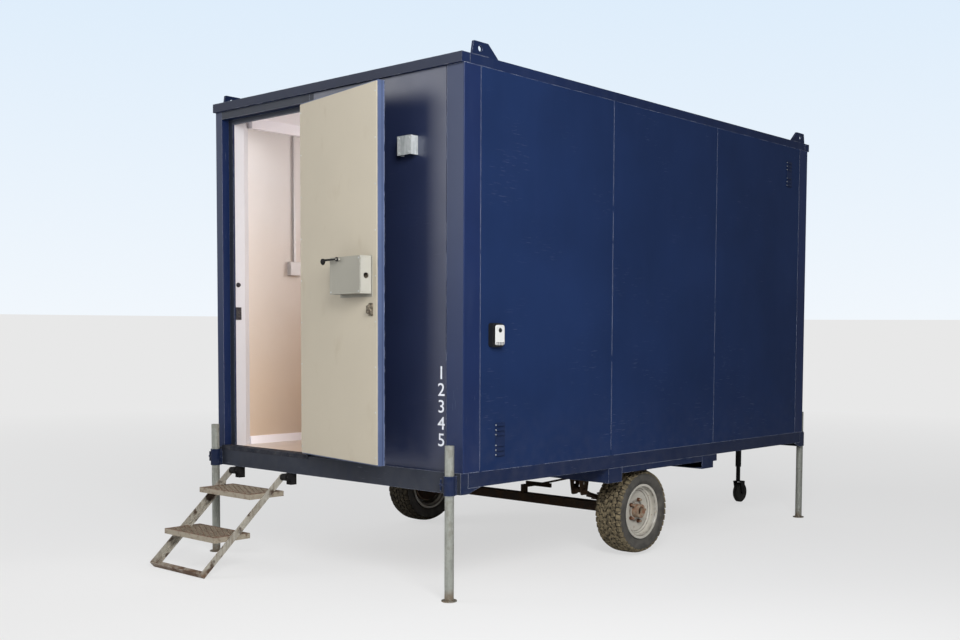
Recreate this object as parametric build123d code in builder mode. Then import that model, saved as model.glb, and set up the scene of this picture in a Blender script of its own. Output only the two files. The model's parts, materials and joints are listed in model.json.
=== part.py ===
from build123d import *
from math import asin, atan2, cos, degrees, radians, sin, sqrt
import os

# Portable site cabin on a single road axle, standing on four prop legs, in millimetres.
# The origin is on the ground below the middle of the whole cabin, +Z is up, and the
# door-end wall faces -Y. The tow coupling is at the +Y end.

os.makedirs("parts", exist_ok=True)

# Overall sizes
cabin_width = 2130
cabin_length = 3660
cabin_height = 2227        # underside of the end rails to the top of the end fascias
ground_clearance = 545     # ground to the underside of the end rails
drawbar_reach = 1250       # drawbar-end wall to the nose of the tow coupling

# Floor frame
end_rail_depth = 109
end_rail_width = 55
end_rail_proud = 18        # how far the end rails stand out from the end walls
side_rail_depth = 79
side_rail_width = 40
rail_gauge = 5
gusset_length = 93
piece_gap = 1              # between separate pieces that meet end to end
pin_clearance = 0.5        # round every pin in its hole
member_gauge = 6
member_step_length = 45
member_step_height = 42
sub_frame_depth = 36
sub_frame_gauge = 30
chassis_rail_width = 60
joist_count = 7
joist_end_margin = 150
joist_depth = 55
joist_web = 22
joist_flange = 40
joist_gauge = 3

# Walls, roof and linings
wall_core = 50             # folded steel skin with its insulation
lining_gauge = 15
top_rail_depth = 51
top_rail_width = 60
post_width = 120
post_depth = 122
post_radius = 8
post_wall = 4
seam_width = 5
seam_depth = 3
side_bays = 3
boxing_gauge = 10
boxing_return = 62         # tapered trim from the doorway boxing to the wall lining
deck_gauge = 18
floor_cover_gauge = 4
ceiling_gauge = 11
roof_gauge = 34
roof_camber = 8
lug_gauge = 12
lug_start = 55             # front wall to the base of the lug
lug_lead = 11
lug_crest = 121
lug_length = 199
lug_height = 68
lug_radius = 9
lug_hole_setback = 116
lug_hole_height = 34
lug_hole_radius = 15

# Doorway and door
doorway_inset = 67         # side of the cabin to the outer rebate face of the frame
doorway_width = 848
doorway_drop = 97          # top of the cabin to the head's rebate face
rebate_depth = 50
stop_width = 43
head_stop = 28
stop_gauge = 12
jamb_face = 40
sill_gauge = 3
sill_height = 12
sill_lip = 26
door_gap = 6
door_gap_latch = 12
door_floor_gap = 11
door_head_gap = 20
door_steel = 40
door_skin = 3
door_skin_lap = 2
door_lining_gauge = 6
door_inset = 6
door_flush = 1
door_open_angle = 169.5
hinge_outset = 10          # hinge pin to the face of the front wall
hinge_inset = 2            # hinge pin to the rebate face
hinge_radius = 9
hinge_pin_radius = 5
hinge_half = 60
hinge_leaf_width = 45
hinge_gauge = 4
hinge_rises = (196, 1006, 1826)   # top of the floor frame to the middle of each hinge

# Lock and lever on the inner face of the door: starts are from the hinge pin along the door
# and rises are from the top of the floor frame
cover_start = 467
cover_length = 310
cover_rise = 916
cover_height = 195
cover_depth = 69
cover_gauge = 2
plate_margin = 8
keyhole_depth = 33         # face of the lining to the keyhole, on the cover's end
keyhole_rise = 1009
keyhole_radius = 15
keyhole_reach = 40
backing_lead = 7           # how far the backing plate stands out past the cover: towards
backing_trail = 12         # the hinges, towards the free edge, below and above
backing_drop = 16
backing_top = 2
backing_gauge = 2
case_start = 541
case_clearance = 4
lever_pivot = 571
lever_rise = 1099
lever_length = 147
lever_boss_radius = 11
lever_arm = 7              # width of the arm at the boss
lever_arm_end = 12         # and at the knob
knob_radius = 13
knob_drop = 26
knob_rise = 9
lever_gauge = 8
lever_gap = 14
spindle_radius = 6
guard_start = 757
guard_length = 35
guard_rise = 800
guard_height = 68
guard_depth = 26
keep_rise = 831
keep_depth = 78

# Fittings in the room
trunking_height = 65
trunking_depth = 45
skirting_height = 50
skirting_gauge = 12
conduit_setback = 548
conduit_width = 16
switch_width = 100
switch_rise = 1087
switch_height = 88
switch_depth = 35

# Fittings outside
inlet_inset = 435          # side of the cabin to the hood's near side
inlet_width = 103
inlet_rise = 1638
inlet_height = 98
inlet_depth = 50
inlet_gauge = 3
safe_setback = 230
safe_rise = 642
safe_width = 90
safe_height = 126
safe_depth = 45
vent_front_setback = 278   # front wall to the lower vent
lower_slot_rises = (185, 79)      # top of the floor frame to each group of slots
upper_slot_rises = (1901, 1791)
vent_rear_inset = 280      # drawbar-end wall to the upper vent
vent_width = 76
slot_width = 58
slot_pitch = 25
slot_height = 12
slot_rise = 7
vent_gauge = 2

# Prop legs
leg_radius = 24.15
leg_wall = 4
leg_rise = 252             # underside of the end rails to the top of each leg
leg_inset = 47             # leg centre in from the side of the cabin
sleeve_gap = 3.85          # face of the end rail to the sleeve
leg_pad_radius = 40
leg_pad_gauge = 6
sleeve_wall = 5
sleeve_clearance = 1
sleeve_height = 100
sleeve_web = 40            # flat bar between the sleeve and the end rail
sleeve_drop = 2            # sleeve below the underside of the end rail
screw_nut_radius = 13
screw_nut_length = 15
screw_nut_sink = 3         # nut let into the wall of the sleeve
screw_radius = 6
screw_length = 34
screw_handle = 60
handle_radius = 4.5

# Steps
steps_shift = -43          # middle of the doorway to the middle of the steps
steps_width = 510
step_section = 40
step_gauge = 4
step_pivot_outset = 42     # pivot ahead of the front wall
step_pivot_drop = 24       # pivot below the underside of the end rail
step_slope = 42.5          # slope of the frame with its foot on the ground
tread_depth = 240
tread_thickness = 30
upper_tread_drop = 84      # pivot down to the top of each tread
lower_tread_drop = 304
hanger_width = 44
hanger_gap = 3
hanger_depth = 40
hanger_drop = 70
hanger_setback = 5
flange_start = 70          # pivot to the start of the stringer flanges
pivot_radius = 8
bolt_head_radius = 12
bolt_head_length = 8
tread_rim = 8
tread_gauge = 3
mesh_pitch_x = 58
mesh_pitch_y = 32
mesh_columns = 8
mesh_rows = 7
mesh_strand = 5            # metal left between neighbouring openings

# Running gear
axle_forward = 170         # middle of the cabin to the axle
tyre_floor_gap = 10        # the legs hold the road wheels just off the ground
axle_section = 60
wheel_radius = 262.5
tyre_width = 195
tyre_inset = 35            # side of the cabin to the outer wall of the tyre
rim_radius = 157
rim_flange_radius = 170
backplate_margin = 5       # drum radius to the edge of the backplate
hub_radius = 42
drum_radius = 115
spring_spacing = 750
spring_width = 60
leaf_gauge = 8
spring_front = 295
spring_rear = 325
spring_eye_drop = 77       # underside of the chassis rails to the eyes
spring_eye_radius = 18
spring_pin_radius = 9
spring_pad = 10
leaf_count = 5
leaf_step = 52
cheek_gap = 3
cheek_gauge = 5
cheek_top = 100
cheek_foot = 60
clamp_half = 50
clamp_bolt_offset = 38
clamp_bolt_radius = 6
backplate_inset = 148      # outer flange of the rim to the brake backplate
backplate_gauge = 6
stub_radius = 25
stub_length = 118
drum_gap = 5
drum_gauge = 10
hub_flange_radius = 90
boss_recess = 6
boss_bore_radius = 30
boss_bore_depth = 22
rim_inset = 14             # outer wall of the tyre to the outer flange of the rim
rim_dish = 50
disc_gauge = 6
# Rim section: depth behind the outer face and height over the bead seat, from the outer
# flange in over the disc, back along the well to the inner flange and out again.
rim_section = (
    (0, 13), (0, 0), (11, -7), (33, -9), (39, -19), (48, -27),
    (50, -43), (50, -113), (56, -113), (56, -40), (53, -22), (45, -14),
    (82, -14), (92, -17), (147, -17), (159, -7), (173, 0), (173, 13),
    (168, 13), (161, -1), (149, -11), (92, -11), (82, -7),
    (17, -2), (6, 13),
)
stud_count = 5
stud_circle_radius = 70
stud_radius = 7
stud_length = 34
drum_step = 6
boss_web = 16
tyre_crown = 6
tread_half = 84
bead_half = 66
bead_flare = 6
bead_clearance = 2
groove_pitch = 22
groove_width = 7
groove_depth = 9
notch_count = 18
notch_length = 44
notch_width = 15
notch_depth = 11
rod_x = 50
rod_radius = 7
yoke_width = 220
compensator_setback = 150
compensator_rise = 39.5    # top of the axle to the compensator

# Chassis below the floor
cross_member_drop = 86     # depth of the two deep cross-members below the side rails
front_member = (-420, -285)   # axle to the two faces of each cross-member
rear_member = (610, 790)
drawbar_depth = 80
drawbar_width = 50
drawbar_gap = 10           # top of the drawbar to the underside of the end rails
drawbar_spread = 630       # centre of each drawbar tube where it meets the cross-member
drawbar_nose = 45          # and behind the coupling
coupling_length = 240
eye_radius = 20
eye_wall = 20
eye_gauge = 32
shank_radius = 22
housing_length = 110
nose_length = 150
nose_gauge = 8
drawbar_wall = 4
bracket_length = 60
bracket_width = 80

# Jockey wheel
jockey_offset = 300
jockey_setback = 390       # behind the drawbar-end wall
jockey_tube_radius = 23
jockey_wheel_radius = 80
jockey_wheel_width = 45
jockey_floor_gap = 8
jockey_clamp_height = 50
jockey_tube_drop = 245     # underside of the end rails to the foot of the tube
jockey_tube_length = 560
jockey_stem_radius = 17
jockey_stem_length = 360
jockey_trail = 30
crank_cap = 14
crank_rise = 25
crank_reach = 130
crank_grip = 60
fork_gauge = 5
fork_gap = 8
fork_half = 36
fork_toe = 16

# Sizes that follow
half_width = cabin_width / 2
sleeve_radius = leg_radius + sleeve_clearance + sleeve_wall
leg_outset = end_rail_proud + sleeve_gap + sleeve_radius
doorway_left = doorway_inset - half_width
doorway_right = doorway_left + doorway_width
steps_centre = (doorway_left + doorway_right) / 2 + steps_shift
pivot_height = ground_clearance - step_pivot_drop
upper_tread_height = pivot_height - upper_tread_drop
lower_tread_height = pivot_height - lower_tread_drop
slope_cos = cos(radians(step_slope))
slope_sin = sin(radians(step_slope))
step_run = (pivot_height - step_section / 2 * slope_cos) / slope_sin
step_reach = step_pivot_outset + step_run * slope_cos + step_section / 2 * slope_sin
front_y = -(cabin_length + drawbar_reach - step_reach) / 2
rear_y = front_y + cabin_length
rail_top = ground_clearance + end_rail_depth
roof_top = ground_clearance + cabin_height
wall_top = roof_top - top_rail_depth
doorway_top = roof_top - doorway_drop
ceiling_height = wall_top - ceiling_gauge
floor_height = rail_top + floor_cover_gauge
skin_x = half_width - wall_core
room_x = skin_x - lining_gauge
room_front = front_y + wall_core + lining_gauge
room_rear = rear_y - wall_core - lining_gauge
room_length = room_rear - room_front
mid_y = (front_y + rear_y) / 2
wall_height = wall_top - rail_top
boxing_x = half_width - post_width - boxing_gauge
boxing_y = post_depth + boxing_gauge
side_rail_bottom = rail_top - side_rail_depth
deck_bottom = rail_top - deck_gauge
member_bottom = side_rail_bottom - cross_member_drop
stop_left = doorway_left + stop_width
stop_right = doorway_right - stop_width
stop_top = doorway_top - head_stop
frame_right = doorway_right + jamb_face
axle_y = (front_y + rear_y) / 2 - axle_forward
axle_height = wheel_radius + tyre_floor_gap
tyre_outer_face = half_width - tyre_inset
rim_face = tyre_outer_face - rim_inset
backplate_offset = rim_face - backplate_inset
spring_eye_height = member_bottom - spring_eye_drop
compensator_height = axle_height + axle_section / 2 + compensator_rise
drawbar_bottom = ground_clearance - drawbar_gap - drawbar_depth
leg_height = ground_clearance + leg_rise
jockey_tube_bottom = ground_clearance - jockey_tube_drop
hinge_x = doorway_right - hinge_inset
hinge_y = front_y - hinge_outset
leaf_start = door_gap - hinge_inset
leaf_end = hinge_x - doorway_left - door_gap_latch
leaf_bottom = rail_top + sill_height + door_floor_gap
leaf_top = doorway_top - door_head_gap
leaf_face = hinge_outset - door_flush          # pin to the outer face of the door
leaf_back = leaf_face + door_steel             # pin to the back of the steel tray
lining_face = leaf_back + door_lining_gauge    # pin to the face of the inner lining
cover_bottom = rail_top + cover_rise
keyhole_height = rail_top + keyhole_rise
lever_height = rail_top + lever_rise
guard_bottom = rail_top + guard_rise
keep_height = rail_top + keep_rise
switch_bottom = rail_top + switch_rise
inlet_start = half_width - inlet_inset
inlet_bottom = rail_top + inlet_rise
safe_bottom = rail_top + safe_rise


def slab(x_span, y_span, z_span, mode=Mode.ADD):
    # A plain rectangular block between three pairs of faces.
    x_low, x_high = sorted(x_span)
    y_low, y_high = sorted(y_span)
    z_low, z_high = sorted(z_span)
    with Locations(((x_low + x_high) / 2, (y_low + y_high) / 2, (z_low + z_high) / 2)):
        Box(x_high - x_low, y_high - y_low, z_high - z_low, mode=mode)


def channel(x_span, y_span, gauge):
    # A folded channel section in the current sketch. It opens towards the second x value.
    x_back, x_open = x_span
    y_low, y_high = y_span
    middle = (y_low + y_high) / 2
    depth = y_high - y_low
    inner_back = x_back + (gauge if x_open > x_back else -gauge)
    with Locations(((x_back + x_open) / 2, middle)):
        Rectangle(abs(x_open - x_back), depth)
    with Locations(((inner_back + x_open) / 2, middle)):
        Rectangle(abs(x_open - inner_back), depth - 2 * gauge, mode=Mode.SUBTRACT)


# ---------------------------------------------------------------- Floor frame

# Folded channels across both ends, open towards the floor, with end caps that run on as
# sloped gussets under the sides, and shallower channels along both sides.
rail_face = front_y - end_rail_proud
rail_back = rail_face + end_rail_width
side_start = rail_back + piece_gap
with BuildPart() as bottom_rails:
    with BuildSketch(Plane.YZ.offset(-half_width)):
        channel((rail_face, rail_back), (ground_clearance, rail_top), rail_gauge)
    extrude(amount=cabin_width)
    for gusset_x in (-half_width, half_width - rail_gauge):
        with BuildSketch(Plane.YZ.offset(gusset_x)):
            with BuildLine():
                Polyline(
                    (rail_face + rail_gauge / 2, ground_clearance),
                    (rail_back, ground_clearance),
                    (rail_back + gusset_length, side_rail_bottom),
                    (rail_back, side_rail_bottom),
                    (rail_back, rail_top - rail_gauge / 2),
                    (rail_face + rail_gauge / 2, rail_top - rail_gauge / 2),
                    close=True,
                )
            make_face()
        extrude(amount=rail_gauge)
    mirror(about=Plane.XZ.offset(-mid_y))
    with BuildSketch(Plane.XZ.offset(-side_start)):
        channel(
            (half_width, half_width - side_rail_width),
            (side_rail_bottom + piece_gap, rail_top),
            rail_gauge,
        )
    extrude(amount=-2 * (mid_y - side_start))
    mirror(about=Plane.YZ)
bottom_rails.part.label = "bottom_rails"
export_step(bottom_rails.part, "parts/bottom_rails.step")

# Two deep folded cross-members that open towards each other, with plates closing their ends.
# The rear one is notched along its lower rear edge.
front_member_y = axle_y + front_member[0]
rear_member_y = axle_y + rear_member[1]
with BuildPart() as cross_members:
    with BuildSketch(Plane.YZ.offset(-half_width)) as member_outline:
        with BuildLine():
            Polyline(
                (front_member_y, member_bottom),
                (axle_y + front_member[1], member_bottom),
                (axle_y + front_member[1], side_rail_bottom),
                (front_member_y, side_rail_bottom),
                close=True,
            )
        make_face()
        with BuildLine():
            Polyline(
                (axle_y + rear_member[0], member_bottom),
                (rear_member_y - member_step_length, member_bottom),
                (rear_member_y - member_step_length, member_bottom + member_step_height),
                (rear_member_y, member_bottom + member_step_height),
                (rear_member_y, side_rail_bottom),
                (axle_y + rear_member[0], side_rail_bottom),
                close=True,
            )
        make_face()
    extrude(amount=cabin_width)
    inner_x = half_width - member_gauge
    inner_bottom = member_bottom + member_gauge
    inner_top = side_rail_bottom - member_gauge
    slab(
        (-inner_x, inner_x),
        (front_member_y + member_gauge, axle_y + front_member[1]),
        (inner_bottom, inner_top),
        mode=Mode.SUBTRACT,
    )
    slab(
        (-inner_x, inner_x),
        (axle_y + rear_member[0], rear_member_y - member_step_length - member_gauge),
        (inner_bottom, inner_top),
        mode=Mode.SUBTRACT,
    )
    slab(
        (-inner_x, inner_x),
        (rear_member_y - member_step_length - 2 * member_gauge, rear_member_y - member_gauge),
        (inner_bottom + member_step_height, inner_top),
        mode=Mode.SUBTRACT,
    )
cross_members.part.label = "cross_members"
export_step(cross_members.part, "parts/cross_members.step")

# Lengthwise box rails above the springs, and edge strips under the side rails.
with BuildPart() as chassis_rails:
    with BuildSketch(Plane.XZ.offset(-(axle_y + front_member[1] + piece_gap))):
        for side in (-1, 1):
            with Locations((side * spring_spacing, (member_bottom + side_rail_bottom) / 2)):
                Rectangle(chassis_rail_width, cross_member_drop)
                Rectangle(
                    chassis_rail_width - 2 * rail_gauge,
                    cross_member_drop - 2 * rail_gauge,
                    mode=Mode.SUBTRACT,
                )
    extrude(amount=-(rear_member[0] - front_member[1] - 2 * piece_gap))
    for side in (-1, 1):
        slab(
            (side * (half_width - sub_frame_gauge), side * half_width),
            (axle_y + front_member[1] + piece_gap, axle_y + rear_member[0] - piece_gap),
            (side_rail_bottom - sub_frame_depth, side_rail_bottom),
        )
chassis_rails.part.label = "chassis_rails"
export_step(chassis_rails.part, "parts/chassis_rails.step")

# Top-hat joists across the frame, under the floor deck.
with BuildPart() as floor_joists:
    joist_span = cabin_length - 2 * joist_end_margin
    for step in range(joist_count):
        joist_y = front_y + joist_end_margin + step * joist_span / (joist_count - 1)
        with BuildSketch(Plane.YZ.offset(-half_width + rail_gauge + piece_gap)):
            with BuildLine():
                Polyline(
                    (joist_y - joist_flange, deck_bottom),
                    (joist_y - joist_flange, deck_bottom - joist_gauge),
                    (joist_y - joist_web, deck_bottom - joist_gauge),
                    (joist_y - joist_web, deck_bottom - joist_depth),
                    (joist_y + joist_web, deck_bottom - joist_depth),
                    (joist_y + joist_web, deck_bottom - joist_gauge),
                    (joist_y + joist_flange, deck_bottom - joist_gauge),
                    (joist_y + joist_flange, deck_bottom),
                    (joist_y + joist_web - joist_gauge, deck_bottom),
                    (joist_y + joist_web - joist_gauge, deck_bottom - joist_depth + joist_gauge),
                    (joist_y - joist_web + joist_gauge, deck_bottom - joist_depth + joist_gauge),
                    (joist_y - joist_web + joist_gauge, deck_bottom),
                    close=True,
                )
            make_face()
        extrude(amount=cabin_width - 2 * (rail_gauge + piece_gap))
floor_joists.part.label = "floor_joists"
export_step(floor_joists.part, "parts/floor_joists.step")

# ---------------------------------------------------------------- Walls and roof

# Box-section corner posts with a rounded outer corner. The one beside the doorway is rebated.
with BuildPart() as corner_posts:
    with BuildSketch(Plane.XY.offset(rail_top)):
        with Locations((half_width - post_width / 2, front_y + post_depth / 2)):
            Rectangle(post_width, post_depth)
        fillet(vertices().group_by(Axis.X)[-1].sort_by(Axis.Y)[0], radius=post_radius)
    extrude(amount=wall_height)
    mirror(about=Plane.XZ.offset(-mid_y))
    mirror(about=Plane.YZ)
    slab(
        (doorway_left, 0),
        (front_y - 1, front_y + rebate_depth + stop_gauge),
        (rail_top, wall_top),
        mode=Mode.SUBTRACT,
    )
    slab(
        (stop_left - boxing_gauge, 0),
        (front_y - 1, front_y + post_depth + 1),
        (rail_top, wall_top),
        mode=Mode.SUBTRACT,
    )
    hollow_x = (half_width - post_wall, half_width - post_width + post_wall)
    hollow_y = (front_y + post_wall, front_y + post_depth - post_wall)
    rebate_y = front_y + rebate_depth + stop_gauge + post_wall
    for x_span, y_span in (
        (hollow_x, hollow_y),
        (hollow_x, (2 * mid_y - hollow_y[0], 2 * mid_y - hollow_y[1])),
        ((-hollow_x[0], -hollow_x[1]), (2 * mid_y - hollow_y[0], 2 * mid_y - hollow_y[1])),
        ((-hollow_x[0], doorway_left - post_wall), hollow_y),
        ((-hollow_x[0], stop_left - boxing_gauge - post_wall), (rebate_y, hollow_y[1])),
    ):
        slab(x_span, y_span, (rail_top, wall_top), mode=Mode.SUBTRACT)
corner_posts.part.label = "corner_posts"
export_step(corner_posts.part, "parts/corner_posts.step")

# Long side walls: one flat steel skin each, with pressed seams between equal bays.
bay_length = (cabin_length - 2 * post_depth) / side_bays
for wall_name, side in (("right_wall", 1), ("left_wall", -1)):
    with BuildPart() as side_wall:
        slab(
            (side * skin_x, side * half_width),
            (front_y + post_depth, rear_y - post_depth),
            (rail_top, wall_top),
        )
        for bay in range(side_bays + 1):
            seam_y = front_y + post_depth + bay * bay_length
            slab(
                (side * (half_width - seam_depth), side * (half_width + 1)),
                (seam_y - seam_width / 2, seam_y + seam_width / 2),
                (rail_top, wall_top),
                mode=Mode.SUBTRACT,
            )
    side_wall.part.label = wall_name
    export_step(side_wall.part, f"parts/{wall_name}.step")

# End wall skins between the posts. The front one stops at the door frame.
with BuildPart() as front_wall:
    slab(
        (frame_right, half_width - post_width),
        (front_y, front_y + wall_core),
        (rail_top, wall_top),
    )
    slab(
        (half_width - post_width - seam_width, half_width - post_width),
        (front_y, front_y + seam_depth),
        (rail_top, wall_top),
        mode=Mode.SUBTRACT,
    )
front_wall.part.label = "front_wall"
export_step(front_wall.part, "parts/front_wall.step")

with BuildPart() as rear_wall:
    slab(
        (post_width - half_width, half_width - post_width),
        (rear_y - wall_core, rear_y),
        (rail_top, wall_top),
    )
    for seam_x in (-half_width + post_width, half_width - post_width - seam_width, -seam_width / 2):
        slab(
            (seam_x, seam_x + seam_width),
            (rear_y - seam_depth, rear_y),
            (rail_top, wall_top),
            mode=Mode.SUBTRACT,
        )
rear_wall.part.label = "rear_wall"
export_step(rear_wall.part, "parts/rear_wall.step")

# Inner linings, one board on each side wall and one on each end wall.
with BuildPart() as wall_linings:
    slab(
        (room_x, skin_x),
        (front_y + post_depth, rear_y - post_depth),
        (rail_top, ceiling_height),
    )
    mirror(about=Plane.YZ)
    slab(
        (post_width - half_width, half_width - post_width),
        (room_rear, rear_y - wall_core),
        (rail_top, ceiling_height),
    )
    slab(
        (frame_right, half_width - post_width),
        (front_y + wall_core, room_front),
        (rail_top, ceiling_height),
    )
wall_linings.part.label = "wall_linings"
export_step(wall_linings.part, "parts/wall_linings.step")

# White boards boxing in the inner faces of the corner posts.
with BuildPart() as corner_boxings:
    with BuildSketch(Plane.XY.offset(floor_height)):
        with Locations((boxing_x + (half_width - boxing_x) / 2, front_y + boxing_y / 2)):
            Rectangle(half_width - boxing_x, boxing_y)
        with Locations((half_width - post_width / 2, front_y + post_depth / 2)):
            Rectangle(post_width, post_depth, mode=Mode.SUBTRACT)
        with Locations((half_width, front_y + boxing_y)):
            Rectangle(2 * (half_width - room_x), 2 * boxing_y, mode=Mode.SUBTRACT)
        with Locations((half_width, room_front - boxing_y)):
            Rectangle(cabin_width, 2 * boxing_y, mode=Mode.SUBTRACT)
    extrude(amount=ceiling_height - floor_height)
    mirror(about=Plane.XZ.offset(-mid_y))
    mirror(about=Plane.YZ)
    slab(
        (-half_width, -boxing_x),
        (front_y, front_y + boxing_y),
        (floor_height, ceiling_height),
        mode=Mode.SUBTRACT,
    )
    with BuildSketch(Plane.XY.offset(floor_height)):
        with BuildLine():
            Polyline(
                (stop_left, front_y + rebate_depth + stop_gauge),
                (stop_left, front_y + boxing_y),
                (-room_x, front_y + boxing_y + boxing_return),
                (-room_x, front_y + post_depth),
                (stop_left - boxing_gauge, front_y + post_depth),
                (stop_left - boxing_gauge, front_y + rebate_depth + stop_gauge),
                close=True,
            )
        make_face()
    extrude(amount=ceiling_height - floor_height)
corner_boxings.part.label = "corner_boxings"
export_step(corner_boxings.part, "parts/corner_boxings.step")

# Floor deck on the joists.
with BuildPart() as floor_deck:
    slab(
        (-half_width + side_rail_width + piece_gap, half_width - side_rail_width - piece_gap),
        (rail_back + piece_gap, 2 * mid_y - rail_back - piece_gap),
        (deck_bottom, rail_top),
    )
floor_deck.part.label = "floor_deck"
export_step(floor_deck.part, "parts/floor_deck.step")

# The room's outline inside the linings and boxings, shared by floor covering and ceiling.
with BuildSketch() as room_outline:
    with Locations((0, mid_y)):
        Rectangle(2 * room_x, room_length)
    for corner in ((half_width, front_y), (half_width, rear_y), (-half_width, rear_y)):
        with Locations(corner):
            Rectangle(2 * (half_width - boxing_x), 2 * boxing_y, mode=Mode.SUBTRACT)
    with BuildLine():
        Polyline(
            (-room_x, room_front),
            (stop_left, room_front),
            (stop_left, front_y + boxing_y),
            (-room_x, front_y + boxing_y + boxing_return),
            close=True,
        )
    make_face(mode=Mode.SUBTRACT)

with BuildPart() as floor_covering:
    add(Plane.XY.offset(rail_top) * room_outline.sketch)
    extrude(amount=floor_cover_gauge)
    slab(
        (stop_left, stop_right),
        (front_y + rebate_depth, room_front),
        (rail_top, floor_height),
    )
floor_covering.part.label = "floor_covering"
export_step(floor_covering.part, "parts/floor_covering.step")

with BuildPart() as ceiling_lining:
    add(Plane.XY.offset(ceiling_height) * room_outline.sketch)
    extrude(amount=ceiling_gauge)
ceiling_lining.part.label = "ceiling_lining"
export_step(ceiling_lining.part, "parts/ceiling_lining.step")

# Top rails. The end fascias stand proud of the walls with capped ends, and the side ones
# are flush.
with BuildPart() as top_rails:
    with BuildSketch(Plane.YZ.offset(-half_width)):
        channel((rail_face, rail_face + top_rail_width), (wall_top, roof_top), rail_gauge)
    extrude(amount=cabin_width)
    for side in (-1, 1):
        slab(
            (side * (half_width - rail_gauge), side * half_width),
            (rail_face + rail_gauge / 2, rail_face + top_rail_width),
            (wall_top + rail_gauge / 2, roof_top - rail_gauge / 2),
        )
    mirror(about=Plane.XZ.offset(-mid_y))
    with BuildSketch(Plane.XZ.offset(-(rail_face + top_rail_width + piece_gap))):
        channel((half_width, half_width - top_rail_width), (wall_top, roof_top), rail_gauge)
    extrude(amount=-2 * (mid_y - rail_face - top_rail_width - piece_gap))
    mirror(about=Plane.YZ)
top_rails.part.label = "top_rails"
export_step(top_rails.part, "parts/top_rails.step")

# Roof sheet between the top rails, slightly arched so that rain runs off to the sides.
roof_half = half_width - top_rail_width - piece_gap
roof_start = rail_face + top_rail_width + piece_gap
with BuildPart() as roof_panel:
    with BuildSketch(Plane.XZ.offset(-roof_start)):
        with BuildLine():
            Line((-roof_half, wall_top), (roof_half, wall_top))
            Line((roof_half, wall_top), (roof_half, wall_top + roof_gauge))
            ThreePointArc(
                (roof_half, wall_top + roof_gauge),
                (0, wall_top + roof_gauge + roof_camber),
                (-roof_half, wall_top + roof_gauge),
            )
            Line((-roof_half, wall_top + roof_gauge), (-roof_half, wall_top))
        make_face()
    extrude(amount=-2 * (mid_y - roof_start))
roof_panel.part.label = "roof_panel"
export_step(roof_panel.part, "parts/roof_panel.step")

# Lifting lugs on the side top rails, one near each corner.
with BuildPart() as lifting_lugs:
    with BuildSketch(Plane.YZ.offset(half_width - lug_gauge)):
        with BuildLine():
            Polyline(
                (front_y + lug_start, roof_top),
                (front_y + lug_start + lug_lead, roof_top + lug_height),
                (front_y + lug_start + lug_crest, roof_top + lug_height),
                (front_y + lug_start + lug_length, roof_top),
                close=True,
            )
        make_face()
        fillet(vertices().group_by(Axis.Y)[-1], radius=lug_radius)
        with Locations((front_y + lug_hole_setback, roof_top + lug_hole_height)):
            Circle(lug_hole_radius, mode=Mode.SUBTRACT)
    extrude(amount=lug_gauge)
    mirror(about=Plane.XZ.offset(-mid_y))
    mirror(about=Plane.YZ)
lifting_lugs.part.label = "lifting_lugs"
export_step(lifting_lugs.part, "parts/lifting_lugs.step")

# ---------------------------------------------------------------- Doorway

# Right side of the frame, rebated for the door, and the steel stop behind the left post.
with BuildPart() as door_jambs:
    with BuildSketch(Plane.XY.offset(rail_top)):
        with BuildLine():
            Polyline(
                (doorway_right, front_y),
                (frame_right, front_y),
                (frame_right, room_front),
                (stop_right, room_front),
                (stop_right, front_y + rebate_depth),
                (doorway_right, front_y + rebate_depth),
                close=True,
            )
        make_face()
    extrude(amount=wall_height)
    slab(
        (doorway_left, stop_left),
        (front_y + rebate_depth, front_y + rebate_depth + stop_gauge),
        (rail_top, wall_top),
    )
door_jambs.part.label = "door_jambs"
export_step(door_jambs.part, "parts/door_jambs.step")

# Door head over the opening, with the same rebate and a drip lip above it.
with BuildPart() as door_head:
    with BuildSketch(Plane.YZ.offset(doorway_left)):
        with BuildLine():
            Polyline(
                (front_y, doorway_top),
                (front_y, wall_top),
                (front_y + rebate_depth, wall_top),
                (front_y + rebate_depth, doorway_top),
                close=True,
            )
        make_face()
    extrude(amount=doorway_right - doorway_left)
    with BuildSketch(Plane.YZ.offset(stop_left)):
        with BuildLine():
            Polyline(
                (front_y + rebate_depth - 1, wall_top),
                (room_front, wall_top),
                (room_front, stop_top),
                (front_y + rebate_depth, stop_top),
                (front_y + rebate_depth, doorway_top),
                (front_y + rebate_depth - 1, doorway_top),
                close=True,
            )
        make_face()
    extrude(amount=stop_right - stop_left)
door_head.part.label = "door_head"
export_step(door_head.part, "parts/door_head.step")

# Folded threshold plate over the end rail, with a lip down its face.
with BuildPart() as sill_plate:
    with BuildSketch(Plane.YZ.offset(doorway_left + piece_gap)):
        with BuildLine():
            Polyline(
                (rail_face - sill_gauge, rail_top + sill_height - sill_lip),
                (rail_face - sill_gauge, rail_top + sill_height),
                (front_y + rebate_depth - piece_gap, rail_top + sill_height),
                (front_y + rebate_depth - piece_gap, rail_top),
                (front_y + rebate_depth - piece_gap - sill_gauge, rail_top),
                (front_y + rebate_depth - piece_gap - sill_gauge, rail_top + sill_height - sill_gauge),
                (rail_face, rail_top + sill_height - sill_gauge),
                (rail_face, rail_top + sill_height - sill_lip),
                close=True,
            )
        make_face()
    extrude(amount=doorway_right - doorway_left - 2 * piece_gap)
sill_plate.part.label = "sill_plate"
export_step(sill_plate.part, "parts/sill_plate.step")

# ---------------------------------------------------------------- Door

# The door is drawn standing open. This plane has its origin on the hinge pin, x along the
# door away from the pin and -y from the pin towards the inner face.
open_slant = radians(180 - door_open_angle)
door_plane = Plane(
    origin=(hinge_x, hinge_y, 0),
    x_dir=(cos(open_slant), -sin(open_slant), 0),
    z_dir=(0, 0, 1),
)

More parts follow.
